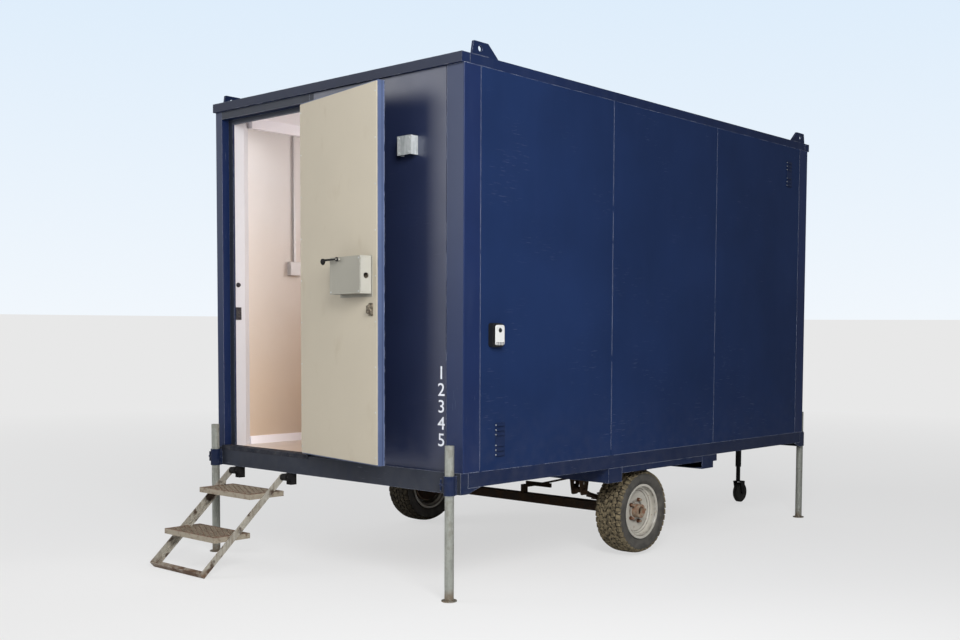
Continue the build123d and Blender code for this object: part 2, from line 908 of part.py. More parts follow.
# Steel tray with a thin outer skin that laps a little past its folded edges.
with BuildPart() as door_leaf:
    with BuildSketch(door_plane.offset(leaf_bottom)):
        with Locations(((leaf_start + leaf_end) / 2, -(leaf_face + leaf_back) / 2)):
            Rectangle(leaf_end - leaf_start - 2 * door_skin_lap, door_steel)
        with Locations(((leaf_start + leaf_end) / 2, -leaf_face - door_skin / 2)):
            Rectangle(leaf_end - leaf_start, door_skin)
    extrude(amount=leaf_top - leaf_bottom)
door_leaf.part.label = "door_leaf"
export_step(door_leaf.part, "parts/door_leaf.step")

# Flat board inside the tray's folded edges.
with BuildPart() as door_lining:
    with BuildSketch(door_plane.offset(leaf_bottom + door_inset)):
        with Locations(((leaf_start + leaf_end) / 2, -leaf_back - door_lining_gauge / 2)):
            Rectangle(leaf_end - leaf_start - 2 * door_inset, door_lining_gauge)
    extrude(amount=leaf_top - leaf_bottom - 2 * door_inset)
door_lining.part.label = "door_lining"
export_step(door_lining.part, "parts/door_lining.step")

# Lift-off hinges. The frame halves carry the pins and the door halves drop over them.
with BuildPart() as frame_hinges:
    for rise in hinge_rises:
        height = rail_top + rise
        with BuildSketch(Plane.XY.offset(height - hinge_half)):
            with Locations((hinge_x, hinge_y)):
                Circle(hinge_radius)
            with Locations((hinge_x + hinge_leaf_width / 2, front_y - hinge_gauge / 2)):
                Rectangle(hinge_leaf_width, hinge_gauge)
        extrude(amount=hinge_half)
        with BuildSketch(Plane.XY.offset(height)):
            with Locations((hinge_x, hinge_y)):
                Circle(hinge_pin_radius)
        extrude(amount=hinge_half - hinge_radius)
frame_hinges.part.label = "frame_hinges"
export_step(frame_hinges.part, "parts/frame_hinges.step")

with BuildPart() as door_hinges:
    for rise in hinge_rises:
        height = rail_top + rise
        with BuildSketch(door_plane.offset(height + pin_clearance)):
            Circle(hinge_radius)
            with Locations((hinge_leaf_width / 2, -leaf_face + hinge_gauge / 2)):
                Rectangle(hinge_leaf_width, hinge_gauge)
            Circle(hinge_pin_radius + pin_clearance, mode=Mode.SUBTRACT)
        extrude(amount=hinge_half - hinge_radius)
        with BuildSketch(door_plane.offset(height + hinge_half - hinge_radius + pin_clearance)):
            Circle(hinge_radius)
            with Locations((hinge_leaf_width / 2, -leaf_face + hinge_gauge / 2)):
                Rectangle(hinge_leaf_width, hinge_gauge)
        extrude(amount=hinge_radius)
door_hinges.part.label = "door_hinges"
export_step(door_hinges.part, "parts/door_hinges.step")

# Sketches on this plane look at the inner face of the door: x runs along the door from the
# pin, y is the height above the ground, and extrusions stand off the lining.
lock_plane = Plane(
    origin=(hinge_x, hinge_y, 0),
    x_dir=(cos(open_slant), -sin(open_slant), 0),
    z_dir=(-sin(open_slant), -cos(open_slant), 0),
).offset(lining_face)

# Folded steel cover over the lock, open at the back and below, on a flat backing plate. It
# carries the lever's spindle, and its end towards the free edge has the keyhole plate.
cover_end = cover_start + cover_length
keyhole_plane = Plane(
    origin=lock_plane.from_local_coords((cover_end, 0, 0)),
    x_dir=(-sin(open_slant), -cos(open_slant), 0),
    z_dir=(-cos(open_slant), sin(open_slant), 0),
)
with BuildPart() as lock_cover:
    with BuildSketch(lock_plane):
        with Locations((cover_start + cover_length / 2, cover_bottom + cover_height / 2)):
            Rectangle(cover_length, cover_height)
    extrude(amount=cover_depth)
    with BuildSketch(lock_plane):
        with Locations((
            (cover_start - backing_lead + cover_end + backing_trail) / 2,
            cover_bottom + (cover_height + backing_top - backing_drop) / 2,
        )):
            Rectangle(
                cover_length + backing_lead + backing_trail,
                cover_height + backing_top + backing_drop,
            )
    extrude(amount=backing_gauge)
    with BuildSketch(keyhole_plane):
        with Locations((cover_depth / 2, cover_bottom + cover_height / 2)):
            Rectangle(cover_depth - plate_margin, cover_height - 2 * plate_margin)
    extrude(amount=-cover_gauge)
    with BuildSketch(lock_plane):
        with Locations((cover_start + cover_length / 2, cover_bottom + (cover_height - cover_gauge) / 2)):
            Rectangle(cover_length - 2 * cover_gauge, cover_height - cover_gauge)
    extrude(amount=cover_depth - cover_gauge, mode=Mode.SUBTRACT)
    with BuildSketch(keyhole_plane.offset(cover_gauge)):
        with Locations((keyhole_depth, keyhole_height)):
            Circle(keyhole_radius)
    extrude(amount=-3 * cover_gauge, mode=Mode.SUBTRACT)
    with BuildSketch(lock_plane.offset(cover_depth - cover_gauge)):
        with Locations((lever_pivot, lever_height)):
            Circle(spindle_radius)
    extrude(amount=cover_gauge + lever_gap + lever_gauge)
lock_cover.part.label = "lock_cover"
export_step(lock_cover.part, "parts/lock_cover.step")

# Lock case behind the cover, and under it a small rim lock: a base with a round cylinder
# housing and a hooked staple beside it.
with BuildPart() as lock_cases:
    case_end = cover_end - cover_gauge - case_clearance
    case_height = cover_height - cover_gauge - 2 * case_clearance
    with BuildSketch(lock_plane):
        with Locations((
            (case_start + case_end) / 2,
            cover_bottom + case_clearance + case_height / 2,
        )):
            Rectangle(case_end - case_start, case_height)
    extrude(amount=cover_depth - cover_gauge - case_clearance)
    with BuildSketch(keyhole_plane.offset(cover_gauge + case_clearance)):
        with Locations((keyhole_depth, keyhole_height)):
            Circle(keyhole_radius)
    extrude(amount=keyhole_reach, mode=Mode.SUBTRACT)
    guard_middle = guard_bottom + guard_height / 2
    with BuildSketch(lock_plane):
        with Locations((guard_start + guard_length / 2, guard_middle)):
            RectangleRounded(guard_length, guard_height, 6)
    extrude(amount=guard_depth / 4)
    with BuildSketch(lock_plane.offset(guard_depth / 4)):
        with Locations((guard_start + guard_length / 2, guard_middle)):
            SlotOverall(guard_height * 0.8, guard_length * 0.7, rotation=90)
    extrude(amount=guard_depth / 2, taper=12)
    with BuildSketch(lock_plane.offset(guard_depth * 0.7)):
        with Locations((guard_start + guard_length / 2, guard_middle + guard_height / 6)):
            Circle(guard_length / 4)
    extrude(amount=guard_depth * 0.3)
    with BuildSketch(lock_plane.offset(guard_depth / 4)):
        with Locations((guard_start + guard_length / 8, guard_middle)):
            Rectangle(guard_length / 4, guard_height * 0.6)
    extrude(amount=guard_depth * 0.55)
lock_cases.part.label = "lock_cases"
export_step(lock_cases.part, "parts/lock_cases.step")

# Lever with a tapered arm and a drop-shaped knob, turning on the cover's spindle.
with BuildPart() as door_lever:
    with BuildSketch(lock_plane.offset(cover_depth + lever_gap)):
        with Locations((lever_pivot, lever_height)):
            Circle(lever_boss_radius)
        with BuildLine():
            Polyline(
                (lever_pivot, lever_height + lever_arm / 2),
                (lever_pivot - lever_length, lever_height + lever_arm_end / 2),
                (lever_pivot - lever_length, lever_height - lever_arm_end / 2),
                (lever_pivot, lever_height - lever_arm / 2),
                close=True,
            )
        make_face()
        with Locations((lever_pivot, lever_height)):
            Circle(spindle_radius + pin_clearance, mode=Mode.SUBTRACT)
    extrude(amount=lever_gauge)
    knob_plane = lock_plane.offset(cover_depth + lever_gap + lever_gauge / 2)
    knob_x = lever_pivot - lever_length
    with BuildSketch(knob_plane):
        with BuildLine():
            knob_side = Polyline(
                (knob_x, lever_height - knob_drop),
                (knob_x, lever_height + knob_rise),
                (knob_x - knob_radius / 2, lever_height + knob_rise),
            )
            ThreePointArc(
                knob_side @ 1,
                (knob_x - knob_radius, lever_height - knob_drop / 3),
                knob_side @ 0,
            )
        make_face()
    revolve(axis=Axis(knob_plane.from_local_coords((knob_x, lever_height, 0)), (0, 0, 1)))
door_lever.part.label = "door_lever"
export_step(door_lever.part, "parts/door_lever.step")

# Strike plate and tapered bolt keep on the reveal of the left post.
with BuildPart() as door_keeps:
    keep_start = front_y + rebate_depth + stop_gauge
    slab(
        (stop_left, stop_left + hinge_gauge),
        (keep_start, keep_start + keep_depth / 2),
        (keep_height - keep_depth / 2, keep_height + keep_depth / 2),
    )
    with BuildSketch(Plane.YZ.offset(stop_left)):
        with Locations((keep_start + keep_depth / 4, keyhole_height)):
            Circle(keyhole_radius)
    extrude(amount=lever_boss_radius, taper=20)
door_keeps.part.label = "door_keeps"
export_step(door_keeps.part, "parts/door_keeps.step")

# ---------------------------------------------------------------- Room fittings

# White trunking where walls and ceiling meet, and skirting round the floor.
wall_start = front_y + boxing_y + boxing_return
wall_end = rear_y - boxing_y
with BuildPart() as wall_trims:
    for run_bottom, run_height, run_depth in (
        (ceiling_height - trunking_height, trunking_height, trunking_depth),
        (floor_height, skirting_height, skirting_gauge),
    ):
        for side in (-1, 1):
            slab(
                (side * room_x, side * (room_x - run_depth)),
                (wall_start, wall_end),
                (run_bottom, run_bottom + run_height),
            )
        slab(
            (-boxing_x + piece_gap, boxing_x - piece_gap),
            (room_rear - run_depth, room_rear),
            (run_bottom, run_bottom + run_height),
        )
wall_trims.part.label = "wall_trims"
export_step(wall_trims.part, "parts/wall_trims.step")

# Switch box with a rounded front, and mini-trunking from it up the left wall.
switch_y = front_y + conduit_setback
switch_top = switch_bottom + switch_height
with BuildPart() as switch_box:
    slab(
        (-room_x, -room_x + switch_depth),
        (switch_y - switch_width / 2, switch_y + switch_width / 2),
        (switch_bottom, switch_top),
    )
    fillet(edges().filter_by(Axis.X), radius=6)
    chamfer(faces().sort_by(Axis.X)[-1].edges(), length=3)
    slab(
        (-room_x, -room_x + conduit_width),
        (switch_y - conduit_width / 2, switch_y + conduit_width / 2),
        (switch_top - conduit_width, ceiling_height - trunking_height),
    )
switch_box.part.label = "switch_box"
export_step(switch_box.part, "parts/switch_box.step")

# ---------------------------------------------------------------- Outside fittings

# Galvanised hood over the power inlet, open below.
with BuildPart() as inlet_hood:
    slab(
        (inlet_start, inlet_start + inlet_width),
        (front_y - inlet_depth, front_y),
        (inlet_bottom, inlet_bottom + inlet_height),
    )
    slab(
        (inlet_start + inlet_gauge, inlet_start + inlet_width - inlet_gauge),
        (front_y - inlet_depth + inlet_gauge, front_y),
        (inlet_bottom, inlet_bottom + inlet_height - inlet_gauge),
        mode=Mode.SUBTRACT,
    )
inlet_hood.part.label = "inlet_hood"
export_step(inlet_hood.part, "parts/inlet_hood.step")

# Key safe on the right wall: a waisted, domed body and a raised face with a turning knob.
safe_y = front_y + safe_setback
with BuildPart() as key_safe:
    with BuildSketch(Plane.YZ.offset(half_width)):
        with Locations((safe_y, safe_bottom + safe_height / 2)):
            RectangleRounded(safe_width, safe_height, 16)
    extrude(amount=safe_depth * 0.6, taper=4)
    with BuildSketch(Plane.YZ.offset(half_width + safe_depth * 0.6)):
        with Locations((safe_y, safe_bottom + safe_height / 2)):
            RectangleRounded(safe_width - 22, safe_height - 26, 14)
    extrude(amount=safe_depth * 0.25, taper=10)
    with BuildSketch(Plane.YZ.offset(half_width + safe_depth * 0.85)):
        with Locations((safe_y, safe_bottom + safe_height * 0.7)):
            Circle(safe_width / 8)
    extrude(amount=safe_depth * 0.15)
key_safe.part.label = "key_safe"
export_step(key_safe.part, "parts/key_safe.step")

# Two ventilators in the right wall: a plate with rows of hooded slots.
with BuildPart() as wall_vents:
    for vent_y, slot_rises in (
        (front_y + vent_front_setback, lower_slot_rises),
        (rear_y - vent_rear_inset, upper_slot_rises),
    ):
        plate_bottom = rail_top + slot_rises[1] - slot_height
        plate_top = rail_top + slot_rises[0] + 2 * slot_pitch + slot_height
        slab(
            (half_width, half_width + vent_gauge),
            (vent_y - vent_width / 2, vent_y + vent_width / 2),
            (plate_bottom, plate_top),
        )
        for group_rise in slot_rises:
            for row in range(3):
                slot_z = rail_top + group_rise + row * slot_pitch
                with BuildSketch(Plane.XZ.offset(-(vent_y - slot_width / 2))):
                    with BuildLine():
                        Polyline(
                            (half_width + vent_gauge / 2, slot_z - slot_height / 2),
                            (half_width + vent_gauge + slot_rise, slot_z - slot_height / 2),
                            (half_width + vent_gauge, slot_z + slot_height / 2),
                            (half_width + vent_gauge / 2, slot_z + slot_height / 2),
                            close=True,
                        )
                    make_face()
                extrude(amount=-slot_width)
wall_vents.part.label = "wall_vents"
export_step(wall_vents.part, "parts/wall_vents.step")

# ---------------------------------------------------------------- Prop legs

# Each leg slides in a sleeve welded to the end rail and is held by a T-handled screw.
leg_x = half_width - leg_inset
sleeve_bottom = ground_clearance - sleeve_drop
with BuildPart() as leg_sleeves:
    with BuildSketch(Plane.XY.offset(sleeve_bottom)):
        with Locations((leg_x, front_y - leg_outset)):
            Circle(sleeve_radius)
        with Locations((leg_x, (front_y - leg_outset + rail_face) / 2)):
            Rectangle(sleeve_web, leg_outset - end_rail_proud)
        with Locations((leg_x, front_y - leg_outset)):
            Circle(leg_radius + sleeve_clearance, mode=Mode.SUBTRACT)
    extrude(amount=sleeve_height)
    mirror(about=Plane.XZ.offset(-mid_y))
    mirror(about=Plane.YZ)
    for side in (-1, 1):
        screw_start = side * leg_x - sleeve_radius + screw_nut_sink
        for leg_y in (front_y - leg_outset, rear_y + leg_outset):
            with BuildSketch(Plane.YZ.offset(screw_start)):
                with Locations((leg_y, sleeve_bottom + sleeve_height / 2)):
                    RegularPolygon(radius=screw_nut_radius, side_count=6)
            extrude(amount=-screw_nut_length)
            with BuildSketch(Plane.YZ.offset(screw_start)):
                with Locations((leg_y, sleeve_bottom + sleeve_height / 2)):
                    Circle(screw_radius)
            extrude(amount=-(screw_length + 1.5 * handle_radius))
            with BuildSketch(Plane.XY.offset(sleeve_bottom + (sleeve_height - screw_handle) / 2)):
                with Locations((screw_start - screw_length, leg_y)):
                    Circle(handle_radius)
            extrude(amount=screw_handle)
leg_sleeves.part.label = "leg_sleeves"
export_step(leg_sleeves.part, "parts/leg_sleeves.step")

for leg_name, side, leg_y in (
    ("prop_leg_front_left", -1, front_y - leg_outset),
    ("prop_leg_front_right", 1, front_y - leg_outset),
    ("prop_leg_rear_left", -1, rear_y + leg_outset),
    ("prop_leg_rear_right", 1, rear_y + leg_outset),
):
    with BuildPart() as prop_leg:
        with BuildSketch(Plane.XY):
            with Locations((side * leg_x, leg_y)):
                Circle(leg_pad_radius)
        extrude(amount=leg_pad_gauge)
        with BuildSketch(Plane.XY.offset(leg_pad_gauge)):
            with Locations((side * leg_x, leg_y)):
                Circle(leg_radius)
                Circle(leg_radius - leg_wall, mode=Mode.SUBTRACT)
        extrude(amount=leg_height - leg_pad_gauge)
    prop_leg.part.label = leg_name
    export_step(prop_leg.part, f"parts/{leg_name}.step")

# ---------------------------------------------------------------- Steps

# The step frame is drawn on this sloping plane: x across the steps, y up the slope from the
# pivot and z square to the slope. Its foot rests on the ground.
pivot_y = front_y - step_pivot_outset
frame_plane = Plane(
    origin=(steps_centre, pivot_y, pivot_height),
    x_dir=(1, 0, 0),
    z_dir=(0, -slope_sin, slope_cos),
)
half_steps = steps_width / 2

# Angle-section stringers and foot bar in one frame. The flanges taper away and the webs run
# on to rounded pivot ends.
with BuildPart() as step_frame:
    with BuildSketch(frame_plane.offset(-step_section / 2)):
        with Locations((0, -(step_run + flange_start) / 2)):
            Rectangle(steps_width, step_run - flange_start)
        with BuildLine():
            Polyline(
                (step_section - half_steps, step_section - step_run),
                (half_steps - step_section, step_section - step_run),
                (half_steps - step_section, -flange_start - step_section),
                (half_steps - step_gauge, -flange_start),
                (step_gauge - half_steps, -flange_start),
                (step_section - half_steps, -flange_start - step_section),
                close=True,
            )
        make_face(mode=Mode.SUBTRACT)
    extrude(amount=step_gauge)
    with BuildSketch(frame_plane.offset(-step_section / 2)):
        with Locations((0, -step_run / 2)):
            Rectangle(steps_width, step_run)
        with Locations((0, -step_run / 2 + step_gauge)):
            Rectangle(steps_width - 2 * step_gauge, step_run, mode=Mode.SUBTRACT)
    extrude(amount=step_section)
    for web_x in (steps_centre - half_steps, steps_centre + half_steps - step_gauge):
        with BuildSketch(Plane.YZ.offset(web_x)):
            with Locations((pivot_y, pivot_height)):
                Circle(step_section / 2)
        extrude(amount=step_gauge)
        with BuildSketch(Plane.YZ.offset(web_x)):
            with Locations((pivot_y, pivot_height)):
                Circle(pivot_radius + pin_clearance)
        extrude(amount=step_gauge, mode=Mode.SUBTRACT)
step_frame.part.label = "step_frame"
export_step(step_frame.part, "parts/step_frame.step")

# Folded treads between the stringers, coped round the stringer flanges, with mesh tops: rows
# of diamond openings, every other row shifted by half a diamond.
tread_width = steps_width - 2 * step_gauge
mesh_half_x = mesh_pitch_x / 2 - mesh_strand
mesh_half_y = mesh_pitch_y / 2 - mesh_strand / 2
with BuildPart() as step_treads:
    for tread_height in (upper_tread_height, lower_tread_height):
        tread_fall = pivot_height - tread_height + tread_thickness / 2
        tread_y = pivot_y - tread_fall * slope_cos / slope_sin
        slab(
            (steps_centre - tread_width / 2, steps_centre + tread_width / 2),
            (tread_y - tread_depth / 2, tread_y + tread_depth / 2),
            (tread_height - tread_thickness, tread_height),
        )
        slab(
            (
                steps_centre - tread_width / 2 + tread_rim,
                steps_centre + tread_width / 2 - tread_rim,
            ),
            (tread_y - tread_depth / 2 + tread_rim, tread_y + tread_depth / 2 - tread_rim),
            (tread_height - tread_thickness, tread_height - tread_gauge),
            mode=Mode.SUBTRACT,
        )
        with BuildSketch(Plane.XY.offset(tread_height - tread_gauge)):
            for columns, rows in (
                (mesh_columns, mesh_rows),
                (mesh_columns - 1, mesh_rows - 1),
            ):
                with Locations((steps_centre, tread_y)):
                    with GridLocations(mesh_pitch_x, mesh_pitch_y, columns, rows):
                        Polygon(
                            (-mesh_half_x, 0),
                            (0, -mesh_half_y),
                            (mesh_half_x, 0),
                            (0, mesh_half_y),
                        )
        extrude(amount=tread_gauge, mode=Mode.SUBTRACT)
    with BuildSketch(frame_plane.offset(-step_section / 2 - piece_gap)):
        for side in (-1, 1):
            with Locations((side * (half_steps - step_section / 2), -step_run / 2)):
                Rectangle(step_section + 2 * piece_gap, step_run)
    extrude(amount=step_gauge + 2 * piece_gap, mode=Mode.SUBTRACT)
step_treads.part.label = "step_treads"
export_step(step_treads.part, "parts/step_treads.step")

# Hangers under the front rail. Each carries the pivot bolt of the stringer on its left.
with BuildPart() as step_hangers:
    for web_x in (steps_centre - half_steps, steps_centre + half_steps - step_gauge):
        hanger_x = web_x + step_gauge + hanger_gap
        with BuildSketch(Plane.YZ.offset(hanger_x)):
            with Locations((front_y + hanger_setback, ground_clearance - hanger_drop / 2)):
                Rectangle(hanger_depth, hanger_drop)
            with Locations((pivot_y, pivot_height)):
                Circle(step_section / 2)
            with Locations(((pivot_y + front_y + hanger_setback) / 2, pivot_height)):
                Rectangle(front_y + hanger_setback - pivot_y, step_section)
        extrude(amount=hanger_width)
        with BuildSketch(Plane.YZ.offset(web_x - hanger_gap)):
            with Locations((pivot_y, pivot_height)):
                Circle(pivot_radius)
        extrude(amount=step_gauge + 2 * hanger_gap)
        for head_x, head_length in (
            (web_x - hanger_gap, -bolt_head_length),
            (hanger_x + hanger_width, 2 * bolt_head_length),
        ):
            with BuildSketch(Plane.YZ.offset(head_x)):
                with Locations((pivot_y, pivot_height)):
                    RegularPolygon(radius=bolt_head_radius, side_count=6)
            extrude(amount=head_length)
step_hangers.part.label = "step_hangers"
export_step(step_hangers.part, "parts/step_hangers.step")

# ---------------------------------------------------------------- Running gear

# Square axle with a stub and a round brake backplate at each end.
axle_line = Axis((0, axle_y, axle_height), (1, 0, 0))
with BuildPart() as axle_beam:
    with BuildSketch(Plane.YZ):
        with Locations((axle_y, axle_height)):
            RectangleRounded(axle_section, axle_section, 6)
    extrude(amount=backplate_offset, both=True)
    for side in (-1, 1):
        with BuildSketch(Plane.YZ.offset(side * backplate_offset)):
            with Locations((axle_y, axle_height)):
                Circle(drum_radius - backplate_margin)
        extrude(amount=side * backplate_gauge)
        with BuildSketch(Plane.YZ.offset(side * backplate_offset)):
            with Locations((axle_y, axle_height)):
                Circle(stub_radius)
        extrude(amount=side * stub_length)
axle_beam.part.label = "axle_beam"
export_step(axle_beam.part, "parts/axle_beam.step")

# Leaf springs: concentric leaves, each shorter than the one above, and rolled eyes.
spring_y = axle_y + (spring_rear - spring_front) / 2
half_spring = (spring_front + spring_rear) / 2
spring_seat = axle_height + axle_section / 2 + spring_pad
main_leaf_z = spring_seat + (leaf_count - 1) * leaf_gauge
spring_rise = spring_eye_height - main_leaf_z
spring_arc_radius = (half_spring ** 2 + spring_rise ** 2) / (2 * spring_rise)
arc_centre = (spring_y, main_leaf_z + spring_arc_radius)
with BuildPart() as leaf_springs:
    with BuildSketch(Plane.YZ.offset(spring_spacing - spring_width / 2)):
        for leaf in range(leaf_count):
            inner_radius = spring_arc_radius + (leaf - 1) * leaf_gauge
            half_leaf = half_spring - spring_eye_radius / 2 - leaf * leaf_step
            spread = degrees(asin(half_leaf / spring_arc_radius))
            with BuildLine():
                upper = CenterArc(arc_centre, inner_radius, 270 - spread, 2 * spread)
                lower = CenterArc(arc_centre, inner_radius + leaf_gauge, 270 - spread, 2 * spread)
                Line(upper @ 0, lower @ 0)
                Line(upper @ 1, lower @ 1)
            make_face()
        for eye_y in (axle_y - spring_front, axle_y + spring_rear):
            with Locations((eye_y, spring_eye_height)):
                Circle(spring_eye_radius)
                Circle(spring_pin_radius + pin_clearance, mode=Mode.SUBTRACT)
    extrude(amount=spring_width)
    mirror(about=Plane.YZ)
leaf_springs.part.label = "leaf_springs"
export_step(leaf_springs.part, "parts/leaf_springs.step")

# Spring hangers below the chassis rails: two cheeks and a pin at each end of each spring.
with BuildPart() as spring_hangers:
    for eye_y in (axle_y - spring_front, axle_y + spring_rear):
        for cheek_x in (
            spring_spacing - spring_width / 2 - cheek_gap - cheek_gauge,
            spring_spacing + spring_width / 2 + cheek_gap,
        ):
            with BuildSketch(Plane.YZ.offset(cheek_x)):
                with BuildLine():
                    Polyline(
                        (eye_y - cheek_top / 2, member_bottom),
                        (eye_y + cheek_top / 2, member_bottom),
                        (eye_y + cheek_foot / 2, spring_eye_height - cheek_foot / 2),
                        (eye_y - cheek_foot / 2, spring_eye_height - cheek_foot / 2),
                        close=True,
                    )
                make_face()
                fillet(vertices().group_by(Axis.Y)[0], radius=cheek_foot / 4)
                with Locations((eye_y, (spring_eye_height + member_bottom) / 2 + cheek_gap)):
                    Circle(spring_pin_radius, mode=Mode.SUBTRACT)
            extrude(amount=cheek_gauge)
        with BuildSketch(Plane.YZ.offset(spring_spacing - spring_width / 2 - 3 * cheek_gauge)):
            with Locations((eye_y, spring_eye_height)):
                Circle(spring_pin_radius)
        extrude(amount=spring_width + 6 * cheek_gauge)
    mirror(about=Plane.YZ)
spring_hangers.part.label = "spring_hangers"
export_step(spring_hangers.part, "parts/spring_hangers.step")

# Clamp plates above the spring and below the axle, and a seat between them, on four bolts.
clamp_reach = clamp_half + spring_y - axle_y
clamp_top = arc_centre[1] + pin_clearance - sqrt((spring_arc_radius - leaf_gauge) ** 2 - clamp_reach ** 2)
with BuildPart() as axle_clamps:
    for clamp_bottom in (
        axle_height - axle_section / 2 - spring_pad,
        axle_height + axle_section / 2,
        clamp_top,
    ):
        slab(
            (spring_spacing - clamp_half, spring_spacing + clamp_half),
            (axle_y - clamp_half, axle_y + clamp_half),
            (clamp_bottom, clamp_bottom + spring_pad),
        )
    with BuildSketch(Plane.XY.offset(axle_height - axle_section / 2 - 2 * spring_pad)):
        with Locations((spring_spacing, axle_y)):
            with GridLocations(2 * clamp_bolt_offset, 2 * clamp_bolt_offset, 2, 2):
                Circle(clamp_bolt_radius)
    extrude(amount=clamp_top + 2 * spring_pad - axle_height + axle_section / 2 + spring_pad)
    mirror(about=Plane.YZ)
axle_clamps.part.label = "axle_clamps"
export_step(axle_clamps.part, "parts/axle_clamps.step")

# Brake rod from the compensator on the axle to the coupling, with a swinging yoke.
rod_start = (rod_x, axle_y + compensator_setback, compensator_height)
rod_end = (rod_x, rear_y + drawbar_reach - coupling_length, drawbar_bottom - spring_pad)
with BuildPart() as brake_linkage:
    with BuildLine() as rod_line:
        Line(rod_start, rod_end)
    with BuildSketch(Plane(origin=rod_start, z_dir=rod_line.line % 0)):
        Circle(rod_radius)
    sweep()
    slab(
        (rod_x - yoke_width / 2, rod_x + yoke_width / 2),
        (rod_start[1] - rod_radius, rod_start[1] + rod_radius),
        (compensator_height - 2 * rod_radius, compensator_height + 2 * rod_radius),
    )
    slab(
        (rod_x - rod_radius, rod_x + rod_radius),
        (axle_y - axle_section / 4, rod_start[1]),
        (compensator_height - rod_radius, compensator_height + rod_radius),
    )
    slab(
        (rod_x - 2 * rod_radius, rod_x + 2 * rod_radius),
        (axle_y - axle_section / 3, axle_y + axle_section / 3),
        (axle_height + axle_section / 2, compensator_height + 2 * rod_radius),
    )
brake_linkage.part.label = "brake_linkage"
export_step(brake_linkage.part, "parts/brake_linkage.step")

# Road wheels. These profiles are drawn with x across the cabin and y from the wheel's axis.
wheel_plane = Plane(origin=(0, axle_y, axle_height), x_dir=(1, 0, 0), z_dir=(0, -1, 0))
tyre_x = tyre_outer_face - tyre_width / 2
for side_name, side in (("left", -1), ("right", 1)):
    # Chunky tyre: rounded carcass, centre grooves and a ring of notches at each shoulder.
    with BuildPart() as tyre:
        with BuildSketch(wheel_plane):
            with BuildLine():
                crown = wheel_radius - tyre_crown
                outer_bead = Polyline(
                    (side * (tyre_x + bead_half), rim_radius + bead_clearance),
                    (side * (tyre_x + bead_half + bead_flare), rim_flange_radius + bead_clearance),
                )
                outer_wall = ThreePointArc(
                    outer_bead @ 1,
                    (side * tyre_outer_face, (rim_flange_radius + wheel_radius) / 2 - tyre_crown),
                    (side * (tyre_x + tread_half), crown),
                )
                tread_arc = ThreePointArc(
                    outer_wall @ 1,
                    (side * tyre_x, wheel_radius),
                    (side * (tyre_x - tread_half), crown),
                )
                inner_wall = ThreePointArc(
                    tread_arc @ 1,
                    (
                        side * (tyre_outer_face - tyre_width),
                        (rim_flange_radius + wheel_radius) / 2 - tyre_crown,
                    ),
                    (
                        side * (tyre_x - bead_half - bead_flare),
                        rim_flange_radius + bead_clearance,
                    ),
                )
                Polyline(
                    inner_wall @ 1,
                    (side * (tyre_x - bead_half), rim_radius + bead_clearance),
                    outer_bead @ 0,
                )
            make_face()
            for groove in (-1, 1):
                with Locations((side * (tyre_x + groove * groove_pitch), wheel_radius)):
                    Rectangle(groove_width, 2 * groove_depth, mode=Mode.SUBTRACT)
        revolve(axis=axle_line)
        for notch in range(notch_count):
            for wall in (-1, 1):
                notch_turn = radians(360 * (notch + wall / 4) / notch_count)
                notch_plane = Plane(
                    origin=(side * (tyre_x + wall * (tread_half - notch_length / 4)), axle_y, axle_height),
                    x_dir=(1, 0, 0),
                    z_dir=(0, cos(notch_turn), sin(notch_turn)),
                )
                with BuildSketch(notch_plane.offset(wheel_radius - notch_depth)):
                    Rectangle(notch_length, notch_width)
                extrude(amount=2 * notch_depth, mode=Mode.SUBTRACT)
    tyre.part.label = f"tyre_{side_name}"
    export_step(tyre.part, f"parts/tyre_{side_name}.step")

    # Pressed steel rim: flanged barrel and dished disc in one section, with five stud holes.
    with BuildPart() as rim:
        with BuildSketch(wheel_plane):
            with BuildLine():
                Polyline(
                    *[
                        (side * (rim_face - depth), rim_radius + height)
                        for depth, height in rim_section
                    ],
                    close=True,
                )
            make_face()
        revolve(axis=axle_line)
        with BuildSketch(Plane.YZ.offset(side * (rim_face - rim_dish - 2 * disc_gauge))):
            with Locations((axle_y, axle_height)):
                with PolarLocations(stud_circle_radius, stud_count):
                    Circle(stud_radius + pin_clearance)
        extrude(amount=side * 3 * disc_gauge, mode=Mode.SUBTRACT)
    rim.part.label = f"rim_{side_name}"
    export_step(rim.part, f"parts/rim_{side_name}.step")

    # Hub and brake drum, open towards the backplate, with a hollow boss through the rim.
    with BuildPart() as hub:
        hub_back = side * (rim_face - rim_dish - disc_gauge)
        drum_open = side * (backplate_offset + backplate_gauge + drum_gap)
        with BuildSketch(wheel_plane):
            with BuildLine():
                Polyline(
                    (drum_open, drum_radius - drum_gauge),
                    (drum_open, drum_radius),
                    (hub_back - side * drum_step, drum_radius),
                    (hub_back - side * drum_step, hub_flange_radius),
                    (hub_back, hub_flange_radius),
                    (hub_back, hub_radius),
                    (side * (rim_face - boss_recess), hub_radius),
                    (side * (rim_face - boss_recess), boss_bore_radius),
                    (side * (rim_face - boss_recess - boss_bore_depth), boss_bore_radius),
                    (side * (rim_face - boss_recess - boss_bore_depth), stub_radius + pin_clearance),
                    (hub_back - side * boss_web, stub_radius + pin_clearance),
                    (hub_back - side * boss_web, drum_radius - drum_gauge),
                    close=True,
                )
            make_face()
        revolve(axis=axle_line)
        with BuildSketch(Plane.YZ.offset(hub_back)):
            with Locations((axle_y, axle_height)):
                with PolarLocations(stud_circle_radius, stud_count):
                    Circle(stud_radius)
        extrude(amount=side * stud_length)
    hub.part.label = f"hub_{side_name}"
    export_step(hub.part, f"parts/hub_{side_name}.step")

# ---------------------------------------------------------------- Drawbar

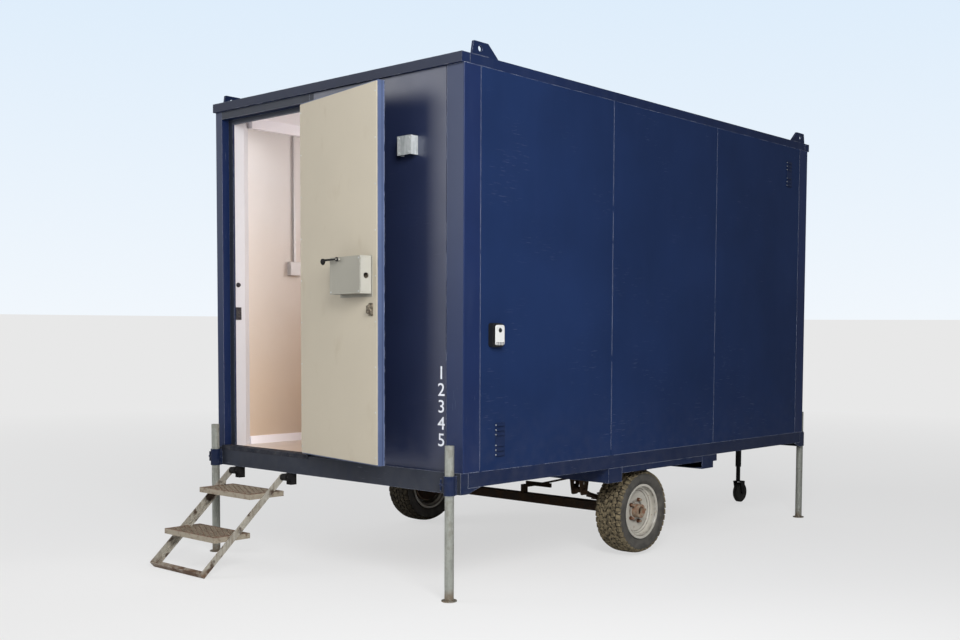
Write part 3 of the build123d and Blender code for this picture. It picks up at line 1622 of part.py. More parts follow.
# Two box tubes that close together from the rear cross-member to the coupling.
drawbar_start = axle_y + rear_member[1] + piece_gap
drawbar_end = rear_y + drawbar_reach - coupling_length
tube_angle = atan2(drawbar_spread - drawbar_nose, drawbar_end - drawbar_start)
tube_half = drawbar_width / 2 / cos(tube_angle)
with BuildPart() as drawbar_tubes:
    with BuildSketch(Plane.XY.offset(drawbar_bottom)):
        with BuildLine():
            Polyline(
                (drawbar_spread - tube_half, drawbar_start),
                (drawbar_spread + tube_half, drawbar_start),
                (drawbar_nose + tube_half, drawbar_end),
                (drawbar_nose - tube_half, drawbar_end),
                close=True,
            )
        make_face()
    extrude(amount=drawbar_depth)
    offset(
        amount=-drawbar_wall,
        openings=[faces().sort_by(Axis.Y)[0], faces().sort_by(Axis.Y)[-1]],
    )
    mirror(about=Plane.YZ)
drawbar_tubes.part.label = "drawbar_tubes"
export_step(drawbar_tubes.part, "parts/drawbar_tubes.step")

# Brackets between the tubes and the drawbar-end rail, the nose plate that ties the tubes
# together and the clamp that holds the jockey wheel's tube.
coupling_height = drawbar_bottom + drawbar_depth / 2
eye_y = rear_y + drawbar_reach - eye_radius - eye_wall
jockey_y = rear_y + jockey_setback
clamp_radius = jockey_tube_radius + sleeve_clearance + sleeve_wall
clamp_front = jockey_y - clamp_radius
clamp_rear = jockey_y + clamp_radius
tube_slope = (drawbar_spread - drawbar_nose) / (drawbar_end - drawbar_start)
with BuildPart() as drawbar_plates:
    bracket_y = rear_y + end_rail_proud - bracket_length / 2
    tube_x = drawbar_spread - (bracket_y - drawbar_start) * tube_slope
    slab(
        (tube_x - bracket_width / 2, tube_x + bracket_width / 2),
        (bracket_y - bracket_length / 2, bracket_y + bracket_length / 2),
        (drawbar_bottom + drawbar_depth, ground_clearance),
    )
    mirror(about=Plane.YZ)
    with BuildSketch(Plane.XY.offset(drawbar_bottom + drawbar_depth)):
        with BuildLine():
            nose_half = drawbar_nose + tube_half
            nose_back = drawbar_end - nose_length
            nose_wide = nose_half + nose_length * tube_slope
            Polyline(
                (-nose_half, drawbar_end),
                (nose_half, drawbar_end),
                (nose_wide, nose_back),
                (-nose_wide, nose_back),
                close=True,
            )
        make_face()
    extrude(amount=nose_gauge)
    with BuildSketch(Plane.XY.offset(coupling_height - jockey_clamp_height / 2)):
        with Locations((jockey_offset, jockey_y)):
            Circle(clamp_radius)
        with BuildLine():
            Polyline(
                (drawbar_spread + tube_half - (clamp_front - drawbar_start) * tube_slope, clamp_front),
                (drawbar_spread + tube_half - (clamp_rear - drawbar_start) * tube_slope, clamp_rear),
                (jockey_offset, clamp_rear),
                (jockey_offset, clamp_front),
                close=True,
            )
        make_face()
        with Locations((jockey_offset, jockey_y)):
            Circle(jockey_tube_radius + sleeve_clearance, mode=Mode.SUBTRACT)
    extrude(amount=jockey_clamp_height)
drawbar_plates.part.label = "drawbar_plates"
export_step(drawbar_plates.part, "parts/drawbar_plates.step")

# Cast coupling with a ring eye for a pin.
with BuildPart() as tow_coupling:
    with BuildSketch(Plane.XZ.offset(-drawbar_end)):
        with Locations((0, coupling_height)):
            RectangleRounded(2 * drawbar_nose, drawbar_depth, 10)
    extrude(amount=-housing_length)
    with BuildSketch(Plane.XZ.offset(-(drawbar_end + housing_length))):
        with Locations((0, coupling_height)):
            Circle(shank_radius)
    extrude(amount=-(eye_y - eye_radius - drawbar_end - housing_length))
    with BuildSketch(Plane.XY.offset(coupling_height - eye_gauge / 2)):
        with Locations((0, eye_y)):
            Circle(eye_radius + eye_wall)
    extrude(amount=eye_gauge)
    fillet(edges().filter_by(GeomType.CIRCLE).sort_by(Axis.Y)[-2:], radius=5)
    with BuildSketch(Plane.XY.offset(coupling_height - eye_gauge / 2)):
        with Locations((0, eye_y)):
            Circle(eye_radius)
    extrude(amount=eye_gauge, mode=Mode.SUBTRACT)
tow_coupling.part.label = "tow_coupling"
export_step(tow_coupling.part, "parts/tow_coupling.step")

# ---------------------------------------------------------------- Jockey wheel

# Outer tube with a crank on top.
jockey_top = jockey_tube_bottom + jockey_tube_length
with BuildPart() as jockey_tube:
    with BuildSketch(Plane.XY.offset(jockey_tube_bottom)):
        with Locations((jockey_offset, jockey_y)):
            Circle(jockey_tube_radius)
            Circle(jockey_stem_radius + sleeve_clearance, mode=Mode.SUBTRACT)
    extrude(amount=jockey_tube_length)
    with BuildSketch(Plane.XY.offset(jockey_top)):
        with Locations((jockey_offset, jockey_y)):
            Circle(jockey_tube_radius)
    extrude(amount=crank_cap)
    with BuildLine() as crank_path:
        FilletPolyline(
            (jockey_offset, jockey_y, jockey_top + crank_cap),
            (jockey_offset, jockey_y, jockey_top + crank_cap + crank_rise),
            (jockey_offset, jockey_y + crank_reach, jockey_top + crank_cap + crank_rise),
            (jockey_offset, jockey_y + crank_reach, jockey_top + crank_cap + 2 * crank_rise + crank_grip),
            radius=crank_rise * 0.6,
        )
    with BuildSketch(Plane(origin=crank_path.line @ 0, z_dir=crank_path.line % 0)):
        Circle(rod_radius)
    sweep()
jockey_tube.part.label = "jockey_tube"
export_step(jockey_tube.part, "parts/jockey_tube.step")

# Stem with a bent-plate fork that trails a little behind it.
jockey_axle = jockey_floor_gap + jockey_wheel_radius
fork_top = jockey_axle + jockey_wheel_radius + fork_gauge + fork_gap
with BuildPart() as jockey_fork:
    with BuildSketch(Plane.XY.offset(fork_top)):
        with Locations((jockey_offset, jockey_y)):
            Circle(jockey_stem_radius)
    extrude(amount=jockey_stem_length)
    with BuildSketch(Plane.YZ.offset(jockey_offset - fork_half)):
        with BuildLine():
            Polyline(
                (jockey_y - jockey_stem_radius, fork_top),
                (jockey_y + jockey_trail + jockey_stem_radius, fork_top),
                (jockey_y + jockey_trail + fork_toe, jockey_axle - fork_toe),
                (jockey_y + jockey_trail - fork_toe, jockey_axle - fork_toe),
                close=True,
            )
        make_face()
        fillet(vertices().group_by(Axis.Y)[0], radius=fork_toe * 0.7)
    extrude(amount=2 * fork_half)
    slab(
        (jockey_offset - fork_half + fork_gauge, jockey_offset + fork_half - fork_gauge),
        (jockey_y - jockey_wheel_radius, jockey_y + 2 * jockey_wheel_radius),
        (0, fork_top - fork_gauge),
        mode=Mode.SUBTRACT,
    )
    with BuildSketch(Plane.YZ.offset(jockey_offset - fork_half)):
        with Locations((jockey_y + jockey_trail, jockey_axle)):
            Circle(rod_radius)
    extrude(amount=2 * fork_half)
jockey_fork.part.label = "jockey_fork"
export_step(jockey_fork.part, "parts/jockey_fork.step")

# Solid rubber jockey wheel on the fork's pin.
with BuildPart() as jockey_wheel:
    with BuildSketch(Plane.XZ.offset(-jockey_y - jockey_trail)):
        with Locations((jockey_offset, jockey_axle + (jockey_wheel_radius + rod_radius + pin_clearance) / 2)):
            Rectangle(jockey_wheel_width, jockey_wheel_radius - rod_radius - pin_clearance)
        chamfer(vertices().group_by(Axis.Z)[-1], length=jockey_wheel_width / 5)
    revolve(axis=Axis((0, jockey_y + jockey_trail, jockey_axle), (1, 0, 0)))
jockey_wheel.part.label = "jockey_wheel"
export_step(jockey_wheel.part, "parts/jockey_wheel.step")
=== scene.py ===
import math

import bpy
from mathutils import Matrix, Vector
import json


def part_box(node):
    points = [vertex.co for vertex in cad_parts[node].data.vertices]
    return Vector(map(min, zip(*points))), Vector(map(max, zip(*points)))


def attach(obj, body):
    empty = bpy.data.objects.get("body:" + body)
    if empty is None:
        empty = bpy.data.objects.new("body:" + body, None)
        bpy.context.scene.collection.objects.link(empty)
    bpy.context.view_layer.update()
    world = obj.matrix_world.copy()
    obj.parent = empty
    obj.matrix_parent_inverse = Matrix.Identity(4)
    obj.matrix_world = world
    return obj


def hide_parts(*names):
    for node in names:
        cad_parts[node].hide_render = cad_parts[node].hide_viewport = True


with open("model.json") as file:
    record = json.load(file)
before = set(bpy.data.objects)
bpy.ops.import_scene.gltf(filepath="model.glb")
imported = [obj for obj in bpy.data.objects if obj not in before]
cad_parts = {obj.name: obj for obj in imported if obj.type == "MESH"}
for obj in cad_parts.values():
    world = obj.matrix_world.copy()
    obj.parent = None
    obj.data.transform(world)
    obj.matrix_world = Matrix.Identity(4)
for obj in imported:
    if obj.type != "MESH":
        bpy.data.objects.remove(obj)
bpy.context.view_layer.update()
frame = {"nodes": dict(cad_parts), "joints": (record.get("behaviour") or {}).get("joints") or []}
nodes = frame["nodes"]
joints = {joint["name"]: joint for joint in frame["joints"]}
print("frame loaded:", len(nodes), "nodes")


# small tools for shader trees

def hexColour(text):  # sRGB hex to linear RGBA
    channels = []
    for start in (1, 3, 5):
        value = int(text[start:start + 2], 16) / 255
        channels.append(value / 12.92 if value <= 0.04045 else ((value + 0.055) / 1.055) ** 2.4)
    return (*channels, 1.0)


def shade(text, factor):  # a lighter or darker shade of a colour
    return tuple(min(1.0, channel * factor) for channel in hexColour(text)[:3]) + (1.0,)


def perMetre(millimetres):  # pattern scale for features of that size
    return 1000 / millimetres


# Adds a node with its settings, links a setting that is another node's output, and gives its output.
def addNode(tree, kind, settings, output=0):
    node = tree.nodes.new("ShaderNode" + kind)
    for name, value in settings.items():
        if isinstance(name, str) and name not in node.inputs:
            setattr(node, name, value)
        elif isinstance(value, bpy.types.NodeSocket):
            tree.links.new(value, node.inputs[name])
        else:
            node.inputs[name].default_value = value
    return node.outputs[output]


def startMaterial(name, shaderValues):  # gives its tree, its shader and its object coordinates
    material = bpy.data.materials.new(name)
    material.use_nodes = True
    tree = material.node_tree
    shader = tree.nodes["Principled BSDF"]
    for socket, value in shaderValues.items():
        shader.inputs[socket].default_value = value
    coords = addNode(tree, "TexCoord", {}, "Object")
    return tree, shader, coords


# A 0 to 1 mask of cloudy patches of that size, empty below low and full above high.
def patches(coords, sizeMm, low, high, detail=4.0, stretch=(1, 1, 1)):
    tree = coords.id_data
    placed = addNode(tree, "Mapping", {"Vector": coords, "Scale": stretch})
    clouds = {"Vector": placed, "Scale": perMetre(sizeMm), "Detail": detail}
    noise = addNode(tree, "TexNoise", clouds)
    return addNode(tree, "MapRange", {"Value": noise, "From Min": low, "From Max": high})


# How worn edges are found: where the rounded normal leaves the flat one, and where the gaps start.
edgeWear = {"samples": 4, "from": 0.985, "full": 0.88, "gapLow": 0.62, "gapHigh": 0.72}


def wornEdges(coords, radiusMm, patchMm, spread):  # 1 on outer edges, broken up in patches
    tree = coords.id_data
    bevel = {"samples": edgeWear["samples"], "Radius": radiusMm / 1000}
    rounded = addNode(tree, "Bevel", bevel)
    flat = addNode(tree, "NewGeometry", {}, "Normal")
    match = addNode(tree, "VectorMath", {"operation": "DOT_PRODUCT", 0: rounded, 1: flat}, "Value")
    limits = {"Value": match, "From Min": edgeWear["from"], "From Max": edgeWear["full"]}
    edge = addNode(tree, "MapRange", limits)
    low, high = edgeWear["gapLow"] - spread, edgeWear["gapHigh"] - spread
    gaps = patches(coords, patchMm, low, high, detail=6.0)
    return addNode(tree, "Math", {"operation": "MULTIPLY", 0: edge, 1: gaps})


def heightBand(coords, low, high):  # 0 at low to 1 at high, in metres; low may be the upper one
    tree = coords.id_data
    height = addNode(tree, "SeparateXYZ", {0: coords}, "Z")
    return addNode(tree, "MapRange", {"Value": height, "From Min": low, "From Max": high})


# One colour over another, as far as all the masks multiplied. A colour is a hex text or an output.
def layOver(under, over, *masks):
    tree = masks[0].id_data
    share = masks[0]
    for mask in masks[1:]:
        share = addNode(tree, "Math", {"operation": "MULTIPLY", 0: share, 1: mask})
    under, over = (hexColour(colour) if isinstance(colour, str) else colour for colour in (under, over))
    return addNode(tree, "Mix", {"data_type": "RGBA", 0: share, 6: under, 7: over}, 2)


# A grain of that size raises the surface, on top of any relief that is there already.
def raiseGrain(shader, coords, sizeMm, detail, strength, depth):
    tree = coords.id_data
    noise = {"Vector": coords, "Scale": perMetre(sizeMm), "Detail": detail}
    relief = {"Height": addNode(tree, "TexNoise", noise), "Strength": strength, "Distance": depth}
    for link in shader.inputs["Normal"].links:
        relief["Normal"] = link.from_socket
    tree.links.new(addNode(tree, "Bump", relief), shader.inputs["Normal"])


def roughen(shader, mask, smooth, rough):  # roughness from one value to the other across a mask
    tree = mask.id_data
    between = addNode(tree, "MapRange", {"Value": mask, "To Min": smooth, "To Max": rough})
    tree.links.new(between, shader.inputs["Roughness"])


# materials

# Sprayed two-pack paint on folded sheet steel: satin, slightly wavy, with rubbed seams, fine
# scratches, dust towards the foot, and light grey metal showing where edges are knocked. A paint
# given a direction gets painted light: a lighter, greyer colour on the faces that turn that way.
def paintedSteel(name, paint):
    tree, shader, coords = startMaterial(name, {"IOR": 1.45, "Specular IOR Level": paint["gloss"]})
    tone = patches(coords, 700, 0.3, 0.7, detail=3.0)
    colour = layOver(shade(paint["coat"], 0.86), shade(paint["coat"], 1.12), tone)
    # Painted light: faces turned that way take a lighter, greyer colour in place of the sheen they catch.
    if "paintedLightTowards" in paint:
        turned = {"operation": "DOT_PRODUCT", 0: coords.node.outputs["Normal"], 1: paint["paintedLightTowards"]}
        side = addNode(tree, "VectorMath", turned, "Value")
        paintedLight = [addNode(tree, "MapRange", {"Value": side, "From Min": 0.8, "From Max": 0.95})]
        if "paintedLightRise" in paint:  # painted light, strongest near the roof
            rise = heightBand(coords, *paint["paintedLightRise"])
            paintedLight.append(addNode(tree, "MapRange", {"Value": rise, "To Min": 0.3}))
        colour = layOver(colour, paint["paintedLight"], *paintedLight)
    rubs = patches(coords, 90, 0.5, 0.85, detail=6.0, stretch=(1, 1, 0.18))
    colour = layOver(colour, paint["rubbed"], rubs, paint["rubs"])
    dust = patches(coords, 60, 0.35, 0.8, detail=6.0)
    foot = heightBand(coords, 1.05, 0.5)
    dusty = addNode(tree, "Math", {"operation": "MULTIPLY", 0: dust, 1: foot})
    dusty = addNode(tree, "Math", {"operation": "MULTIPLY", 0: dusty, 1: paint["dust"]})
    colour = layOver(colour, "#6d6a68", dusty)
    lines = patches(coords, 30, 0.69, 0.72, detail=2.0, stretch=paint["scratchRun"])
    where = patches(coords, 300, 0.52, 0.66, detail=2.0)
    colour = layOver(colour, paint["worn"], lines, where, paint["scratches"])
    knocked = wornEdges(coords, paint["edgeMm"], 70, paint["edgeWear"])
    colour = layOver(colour, paint["worn"], knocked)
    tree.links.new(colour, shader.inputs["Base Color"])
    smear = patches(coords, 120, 0.3, 0.75, detail=5.0)
    satin = {"Value": smear, "To Min": paint["roughness"], "To Max": paint["roughness"] + 0.05}
    rough = addNode(tree, "MapRange", satin)
    rough = addNode(tree, "Math", {"operation": "ADD", 0: rough, 1: dusty})
    tree.links.new(rough, shader.inputs["Roughness"])
    raiseGrain(shader, coords, 3, 1.0, 0.05, 0.0004)  # orange peel of the spray
    raiseGrain(shader, coords, paint["waveMm"], 1.0, paint["wave"], 0.006)  # waves in the sheet


navyPaint = {
    "rubs": 0.25, "worn": "#9096a5", "edgeMm": 2, "dust": 0.1, "scratches": 0.3,
    "scratchRun": (0.3, 0.3, 14), "roughness": 0.38, "gloss": 0.1, "waveMm": 480, "wave": 0.1,
}
railPaint = {
    **navyPaint, "coat": "#182442", "edgeMm": 2.5, "dust": 0.12, "scratches": 0.6,
    "scratchRun": (0.25, 0.25, 12), "waveMm": 500,
}
endOn = (0, -1, 0)
paints = {
    "navySheetPaint": {
        **navyPaint, "coat": "#1c2d52", "rubbed": "#29375e", "rubs": 0.12, "worn": "#8b93a8",
        "edgeWear": 0.27, "gloss": 0.06, "wave": 0.25,
    },
    # a darker copy of the sheet paint with little edge wear, as painted shade in the vent slots
    "shadedVentPaint": {
        **navyPaint, "coat": "#1a2849", "rubbed": "#1f2a4c", "rubs": 0.12, "worn": "#5a6380",
        "edgeWear": -0.05, "scratches": 0.1, "roughness": 0.4,
    },
    "navyRailPaint": {**railPaint, "rubbed": "#2a3656", "edgeWear": 0.22},
    # the faces turned to the end get painted light
    "navySillPaint": {
        **railPaint, "paintedLight": "#2f333d", "paintedLightTowards": endOn, "rubbed": "#2f3950", "edgeWear": 0.3,
        "gloss": 0.14,
    },
    "navyEndPaint": {
        **navyPaint, "coat": "#1a2340", "rubbed": "#262f4c", "worn": "#7c8396", "edgeWear": 0.12,
        "dust": 0.08, "scratches": 0.2, "roughness": 0.42, "gloss": 1.0, "wave": 0.16,
    },
    # the faces turned to the end get painted light, a painted sheen strongest near the roof
    "navyPostPaint": {
        **navyPaint, "paintedLight": "#3a4157", "paintedLightTowards": endOn, "paintedLightRise": (0.7, 2.1), "coat": "#1c2a50",
        "rubbed": "#333e5c", "rubs": 0.3, "worn": "#9aa2b4", "edgeMm": 2.5, "edgeWear": 0.34,
        "scratches": 0.4, "scratchRun": (14, 14, 0.3), "roughness": 0.34, "gloss": 0.12, "wave": 0.15,
    },
    # the faces turned to the end get painted light
    "navyFasciaPaint": {
        **railPaint, "paintedLight": "#2d3242", "paintedLightTowards": endOn, "coat": "#1a2748", "rubbed": "#333b52",
        "rubs": 0.35, "worn": "#8d929c", "edgeMm": 3, "edgeWear": 0.13, "dust": 0.0, "scratches": 0.5,
        "roughness": 0.45, "gloss": 0.12,
    },
    # the cover's end face gets painted light
    "lockGreenPaint": {
        "paintedLight": "#aeaca3", "paintedLightTowards": (0.983, -0.182, 0), "coat": "#98958a", "rubbed": "#b1aea2",
        "rubs": 0.4, "worn": "#6d6a5e", "edgeMm": 1.5, "edgeWear": 0.15, "dust": 0.0, "scratches": 0.4,
        "scratchRun": (6, 0.5, 6), "roughness": 0.42, "gloss": 0.4, "waveMm": 200, "wave": 0.1,
    },
}
for name, paint in paints.items():
    paintedSteel(name, paint)


# Hot-dip galvanised steel: matt grey zinc with a faint spangle, white bloom, runs down the tube
# and dark or rusty stains where it is handled or stands on the ground.
def dullZinc(name, zinc):
    tree, shader, coords = startMaterial(name, {"Metallic": zinc["metallic"]})
    crystals = addNode(tree, "TexVoronoi", {"Vector": coords, "Scale": perMetre(14)}, "Color")
    grey = addNode(tree, "RGBToBW", {0: crystals})
    colour = layOver(shade(zinc["light"], 0.9), shade(zinc["light"], 1.08), grey)
    runs = patches(coords, 16, 0.5, 0.72, detail=6.0, stretch=(1, 1, 0.12))
    colour = layOver(colour, zinc["run"], runs)
    stains = patches(coords, 75, zinc["stainFrom"], zinc["stainFrom"] + 0.08, detail=7.0)
    colour = layOver(colour, zinc["stain"], stains, zinc["stains"])
    low = heightBand(coords, zinc["footTop"] + 0.02, zinc["footTop"] - 0.02)
    mottle = patches(coords, 25, 0.25, 0.55, detail=6.0)
    colour = layOver(colour, zinc["foot"], low, mottle)
    tree.links.new(colour, shader.inputs["Base Color"])
    roughen(shader, stains, zinc["roughness"], zinc["roughness"] + 0.25)
    bump = addNode(tree, "Bump", {"Height": runs, "Strength": 0.15, "Distance": 0.0005})
    tree.links.new(bump, shader.inputs["Normal"])


# the foot is the rusty end that stands on the ground, up to footTop
plainZinc = {"stainFrom": 0.58, "foot": "#776b5c", "footTop": -1.0, "roughness": 0.5}
zincs = {
    "legZinc": {
        **plainZinc, "stains": 0.6, "light": "#93958e", "run": "#858780", "stain": "#7d7b72",
        "footTop": 0.05, "metallic": 0.35,
    },
    "stepZinc": {
        **plainZinc, "stains": 1.0, "stainFrom": 0.53, "light": "#aea99d", "run": "#8b8071",
        "stain": "#4f3f33", "foot": "#6e543f", "footTop": 0.035, "metallic": 0.25,
    },
    "fittingZinc": {
        **plainZinc, "stains": 0.35, "light": "#c6caca", "run": "#a0a7a8", "stain": "#8d8b84",
        "metallic": 0.3, "roughness": 0.35,
    },
    "roofZinc": {
        **plainZinc, "stains": 0.25, "light": "#a3a6a8", "run": "#8c8f92", "stain": "#7c7c78",
        "metallic": 0.4, "roughness": 0.6,
    },
}
for name, zinc in zincs.items():
    dullZinc(name, zinc)


# Bare and painted steel that has rusted: brown scale over dark metal, pitted and dusty.
def rustySteel(name, rust):
    tree, shader, coords = startMaterial(name, {"Specular IOR Level": 0.2})
    cloud = patches(coords, rust["patchMm"], 0.35, 0.65, detail=7.0)
    colour = layOver(rust["base"], rust["scale"], cloud)
    flecks = patches(coords, 5, 0.55, 0.7, detail=3.0)
    colour = layOver(colour, rust["fleck"], flecks, 0.6)
    tree.links.new(colour, shader.inputs["Base Color"])
    roughen(shader, cloud, 0.6, 0.92)
    raiseGrain(shader, coords, 4, 6.0, 0.5, 0.0008)  # pits


rusts = {
    "axleRust": {"base": "#231b14", "scale": "#3f2f22", "fleck": "#5d4733", "patchMm": 45},
    "hubRust": {"base": "#9a917f", "scale": "#835a44", "fleck": "#a89a86", "patchMm": 30},
    "nutRust": {"base": "#5b3a28", "scale": "#3b261b", "fleck": "#8a6248", "patchMm": 12},
    "sillWorn": {"base": "#2e3038", "scale": "#1f232e", "fleck": "#54504b", "patchMm": 60},
    "treadRust": {"base": "#7f6a56", "scale": "#665140", "fleck": "#8f7c68", "patchMm": 22},
    "lockRust": {"base": "#3a332c", "scale": "#8c8474", "fleck": "#6b4c36", "patchMm": 12},
    "keepRust": {"base": "#25232a", "scale": "#423e3e", "fleck": "#756c66", "patchMm": 12},
    "blackSteel": {"base": "#141416", "scale": "#1f1e1e", "fleck": "#33302c", "patchMm": 40},
}
for name, rust in rusts.items():
    rustySteel(name, rust)


# Boards and plastics: an even coat with soft large tones, a fine grain and a little dirt.
def evenCoat(name, coat):
    surface = {"Roughness": coat["roughness"], "Specular IOR Level": coat["gloss"], "IOR": 1.46}
    tree, shader, coords = startMaterial(name, surface)
    tone, toneMm = coat["tone"]
    large = patches(coords, toneMm, 0.3, 0.7, detail=3.0)
    colour = layOver(shade(coat["colour"], 1 - tone), shade(coat["colour"], 1 + tone), large)
    mark, marked, markMm = coat["mark"]
    marks = patches(coords, markMm, 0.6, 0.78, detail=6.0, stretch=(1, 1, 0.5))
    colour = layOver(colour, mark, marks, marked)
    tree.links.new(colour, shader.inputs["Base Color"])
    grainMm, relief = coat["grain"]
    raiseGrain(shader, coords, grainMm, 3.0, relief, 0.002)


# tone: how far the colour drifts, and over how many mm; mark: colour of the dirt, how strong it
# is, and the size of its patches in mm; grain: its size in mm and how strong it is
coats = {
    # stove-enamelled cream sheet, faintly wavy between its screws
    "creamDoor": {
        "colour": "#bab19f", "tone": (0.03, 500), "mark": ("#a2937a", 0.3, 90), "grain": (320, 0.5),
        "roughness": 0.4, "gloss": 0.35,
    },
    # plastic-faced chipboard trims, matt white
    "whiteTrim": {
        "colour": "#cbc9cc", "tone": (0.02, 400), "mark": ("#b9b0aa", 0.2, 60), "grain": (6, 0.03),
        "roughness": 0.45, "gloss": 0.4,
    },
    # the same board on the ceiling, cornice and skirting, in a lighter colour as painted light
    "paintedLightTrim": {
        "colour": "#f4f0f4", "tone": (0.02, 400), "mark": ("#cfc9c6", 0.2, 60), "grain": (6, 0.03),
        "roughness": 0.45, "gloss": 0.4,
    },
    # sheet vinyl floor, beige, wiped to a soft sheen
    "floorVinyl": {
        "colour": "#c9b7a6", "tone": (0.05, 300), "mark": ("#8f7d6a", 0.35, 50), "grain": (5, 0.05),
        "roughness": 0.28, "gloss": 0.5,
    },
    # phenolic-faced plywood seen from below, brown and dull
    "deckPly": {
        "colour": "#6f5236", "tone": (0.15, 120), "mark": ("#3b2c1f", 0.6, 40), "grain": (3, 0.2),
        "roughness": 0.8, "gloss": 0.3,
    },
    # moulded switch plastic, glossy white
    "switchPlastic": {
        "colour": "#c9c3c1", "tone": (0.01, 200), "mark": ("#c5c0b8", 0.15, 30), "grain": (2, 0.01),
        "roughness": 0.3, "gloss": 0.5,
    },
    # textured black housing plastic
    "blackPlastic": {
        "colour": "#17181a", "tone": (0.1, 60), "mark": ("#2c2c2c", 0.5, 15), "grain": (1.5, 0.15),
        "roughness": 0.45, "gloss": 0.5,
    },
    # solid black rubber with a dusty bloom
    "solidRubber": {
        "colour": "#2a2926", "tone": (0.15, 80), "mark": ("#554f46", 0.5, 25), "grain": (3, 0.2),
        "roughness": 0.75, "gloss": 0.3,
    },
    # gloss white sign paint, a little thin in places
    "whiteSign": {
        "colour": "#d8dbe2", "tone": (0.03, 60), "mark": ("#b4b7c0", 0.4, 12), "grain": (3, 0.05),
        "roughness": 0.4, "gloss": 0.4,
    },
    # grey knob plastic, worn shiny
    "knobGrey": {
        "colour": "#6f7070", "tone": (0.1, 8), "mark": ("#3c3c3c", 0.4, 6), "grain": (1, 0.1),
        "roughness": 0.35, "gloss": 0.5,
    },
    # silver-sprayed face of the key safe
    "silverFace": {
        "colour": "#d3d3d1", "tone": (0.03, 30), "mark": ("#a5a7a8", 0.25, 10), "grain": (1, 0.1),
        "roughness": 0.35, "gloss": 0.5,
    },
}
for name, coat in coats.items():
    evenCoat(name, coat)


# Vinyl-faced wall board with a fine stipple, darker and more tan towards the floor.
def vinylBoard(name, board):
    tree, shader, coords = startMaterial(name, {"Roughness": 0.5, "Specular IOR Level": 0.35})
    # darker and more tan towards the floor, lighter and greyer towards the top
    heightShare = heightBand(coords, board["low"], board["high"])
    cloud = patches(coords, 500, 0.3, 0.7)
    uneven = {"operation": "MULTIPLY_ADD", 0: cloud, 1: board["cloud"], 2: heightShare, "use_clamp": True}
    blend = addNode(tree, "Math", uneven)
    colour = layOver(board["lowerColour"], board["vinyl"], blend)
    tree.links.new(colour, shader.inputs["Base Color"])
    raiseGrain(shader, coords, 4, 3.0, 0.1, 0.0006)  # stipple


wallBoard = {"vinyl": "#d0cac7", "lowerColour": "#c5b09b", "low": 1.0, "high": 2.5, "cloud": 0.15}
vinylBoard("vinylFacedBoard", wallBoard)

hubPlace = Vector(joints["wheel_right_spin"]["pos_m"])


def hubDistance(coords):  # distance from the wheels' axis, for patterns that run round it
    tree = coords.id_data
    placed = addNode(tree, "VectorMath", {"operation": "SUBTRACT", 0: coords, 1: hubPlace})
    flat = addNode(tree, "VectorMath", {"operation": "MULTIPLY", 0: placed, 1: (0, 1, 1)})
    return addNode(tree, "VectorMath", {"operation": "LENGTH", 0: flat}, "Value")


# Vulcanised tyre rubber: grey walls with a dusty bloom and moulded rings, and the crown between the
# tread blocks made dark, partly as dirt and partly as painted shade.
def tyreRubber(name, wall):
    tree, shader, coords = startMaterial(name, {"Specular IOR Level": 0.25})
    radius = hubDistance(coords)
    low, high = wall["grooveRadii"]
    # dirt and painted shade: the crown between the tread blocks is made dark
    groove = addNode(tree, "MapRange", {"Value": radius, "From Min": low, "From Max": high})
    bloom = patches(coords, 50, 0.35, 0.7, detail=5.0)
    side = layOver(wall["rubber"], wall["bloom"], bloom)
    colour = layOver(side, wall["groove"], groove)
    tree.links.new(colour, shader.inputs["Base Color"])
    roughen(shader, bloom, 0.55, 0.8)
    fullTurns = 2 * math.pi * perMetre(wall["ringMm"])
    turns = addNode(tree, "Math", {"operation": "MULTIPLY", 0: radius, 1: fullTurns})
    rings = addNode(tree, "Math", {"operation": "SINE", 0: turns})
    ringed = addNode(tree, "Bump", {"Height": rings, "Strength": 0.3, "Distance": 0.0008})
    tree.links.new(ringed, shader.inputs["Normal"])
    raiseGrain(shader, coords, 2.5, 4.0, 0.3, 0.0006)  # grit


tyreWall = {
    "rubber": "#3f3d3a", "bloom": "#5a5752", "groove": "#1f1b15", "grooveRadii": (0.238, 0.246),
    "ringMm": 13,
}
tyreRubber("tyreRubber", tyreWall)


# The blocks of the tread: the same rubber scrubbed to a dusty tan on top, fine sipes cut in. The
# node draws 20 / 2 pi bands to a unit, and its distortion bends them so that each block has a few.
def treadRubber(name, blocks):
    tree, shader, coords = startMaterial(name, {"Specular IOR Level": 0.2, "Roughness": 0.85})
    dirt = patches(coords, 22, 0.3, 0.65, detail=6.0)
    colour = layOver(blocks["rubber"], blocks["dust"], dirt)
    sipes = addNode(tree, "TexWave", {
        "Vector": coords, "bands_direction": "X", "Scale": perMetre(blocks["bandMm"]) * 2 * math.pi / 20,
        "Distortion": 9.0, "Detail": 1.0, "Detail Scale": 3.0,
    }, "Fac")
    cuts = addNode(tree, "MapRange", {"Value": sipes, "From Min": 0.12, "From Max": 0.0})
    colour = layOver(colour, blocks["rubber"], cuts, 0.7)
    tree.links.new(colour, shader.inputs["Base Color"])
    raiseGrain(shader, coords, 3, 5.0, 0.5, 0.001)  # grit


dustyBlocks = {"rubber": "#3c362c", "dust": "#84785f", "bandMm": 56.55}
shadedBlocks = {"rubber": "#26221c", "dust": "#4d4638", "bandMm": 56.55}  # the left wheel's tread is painted darker, as painted shade under the cabin
treadRubber("dustyTreadRubber", dustyBlocks)
treadRubber("shadedTreadRubber", shadedBlocks)
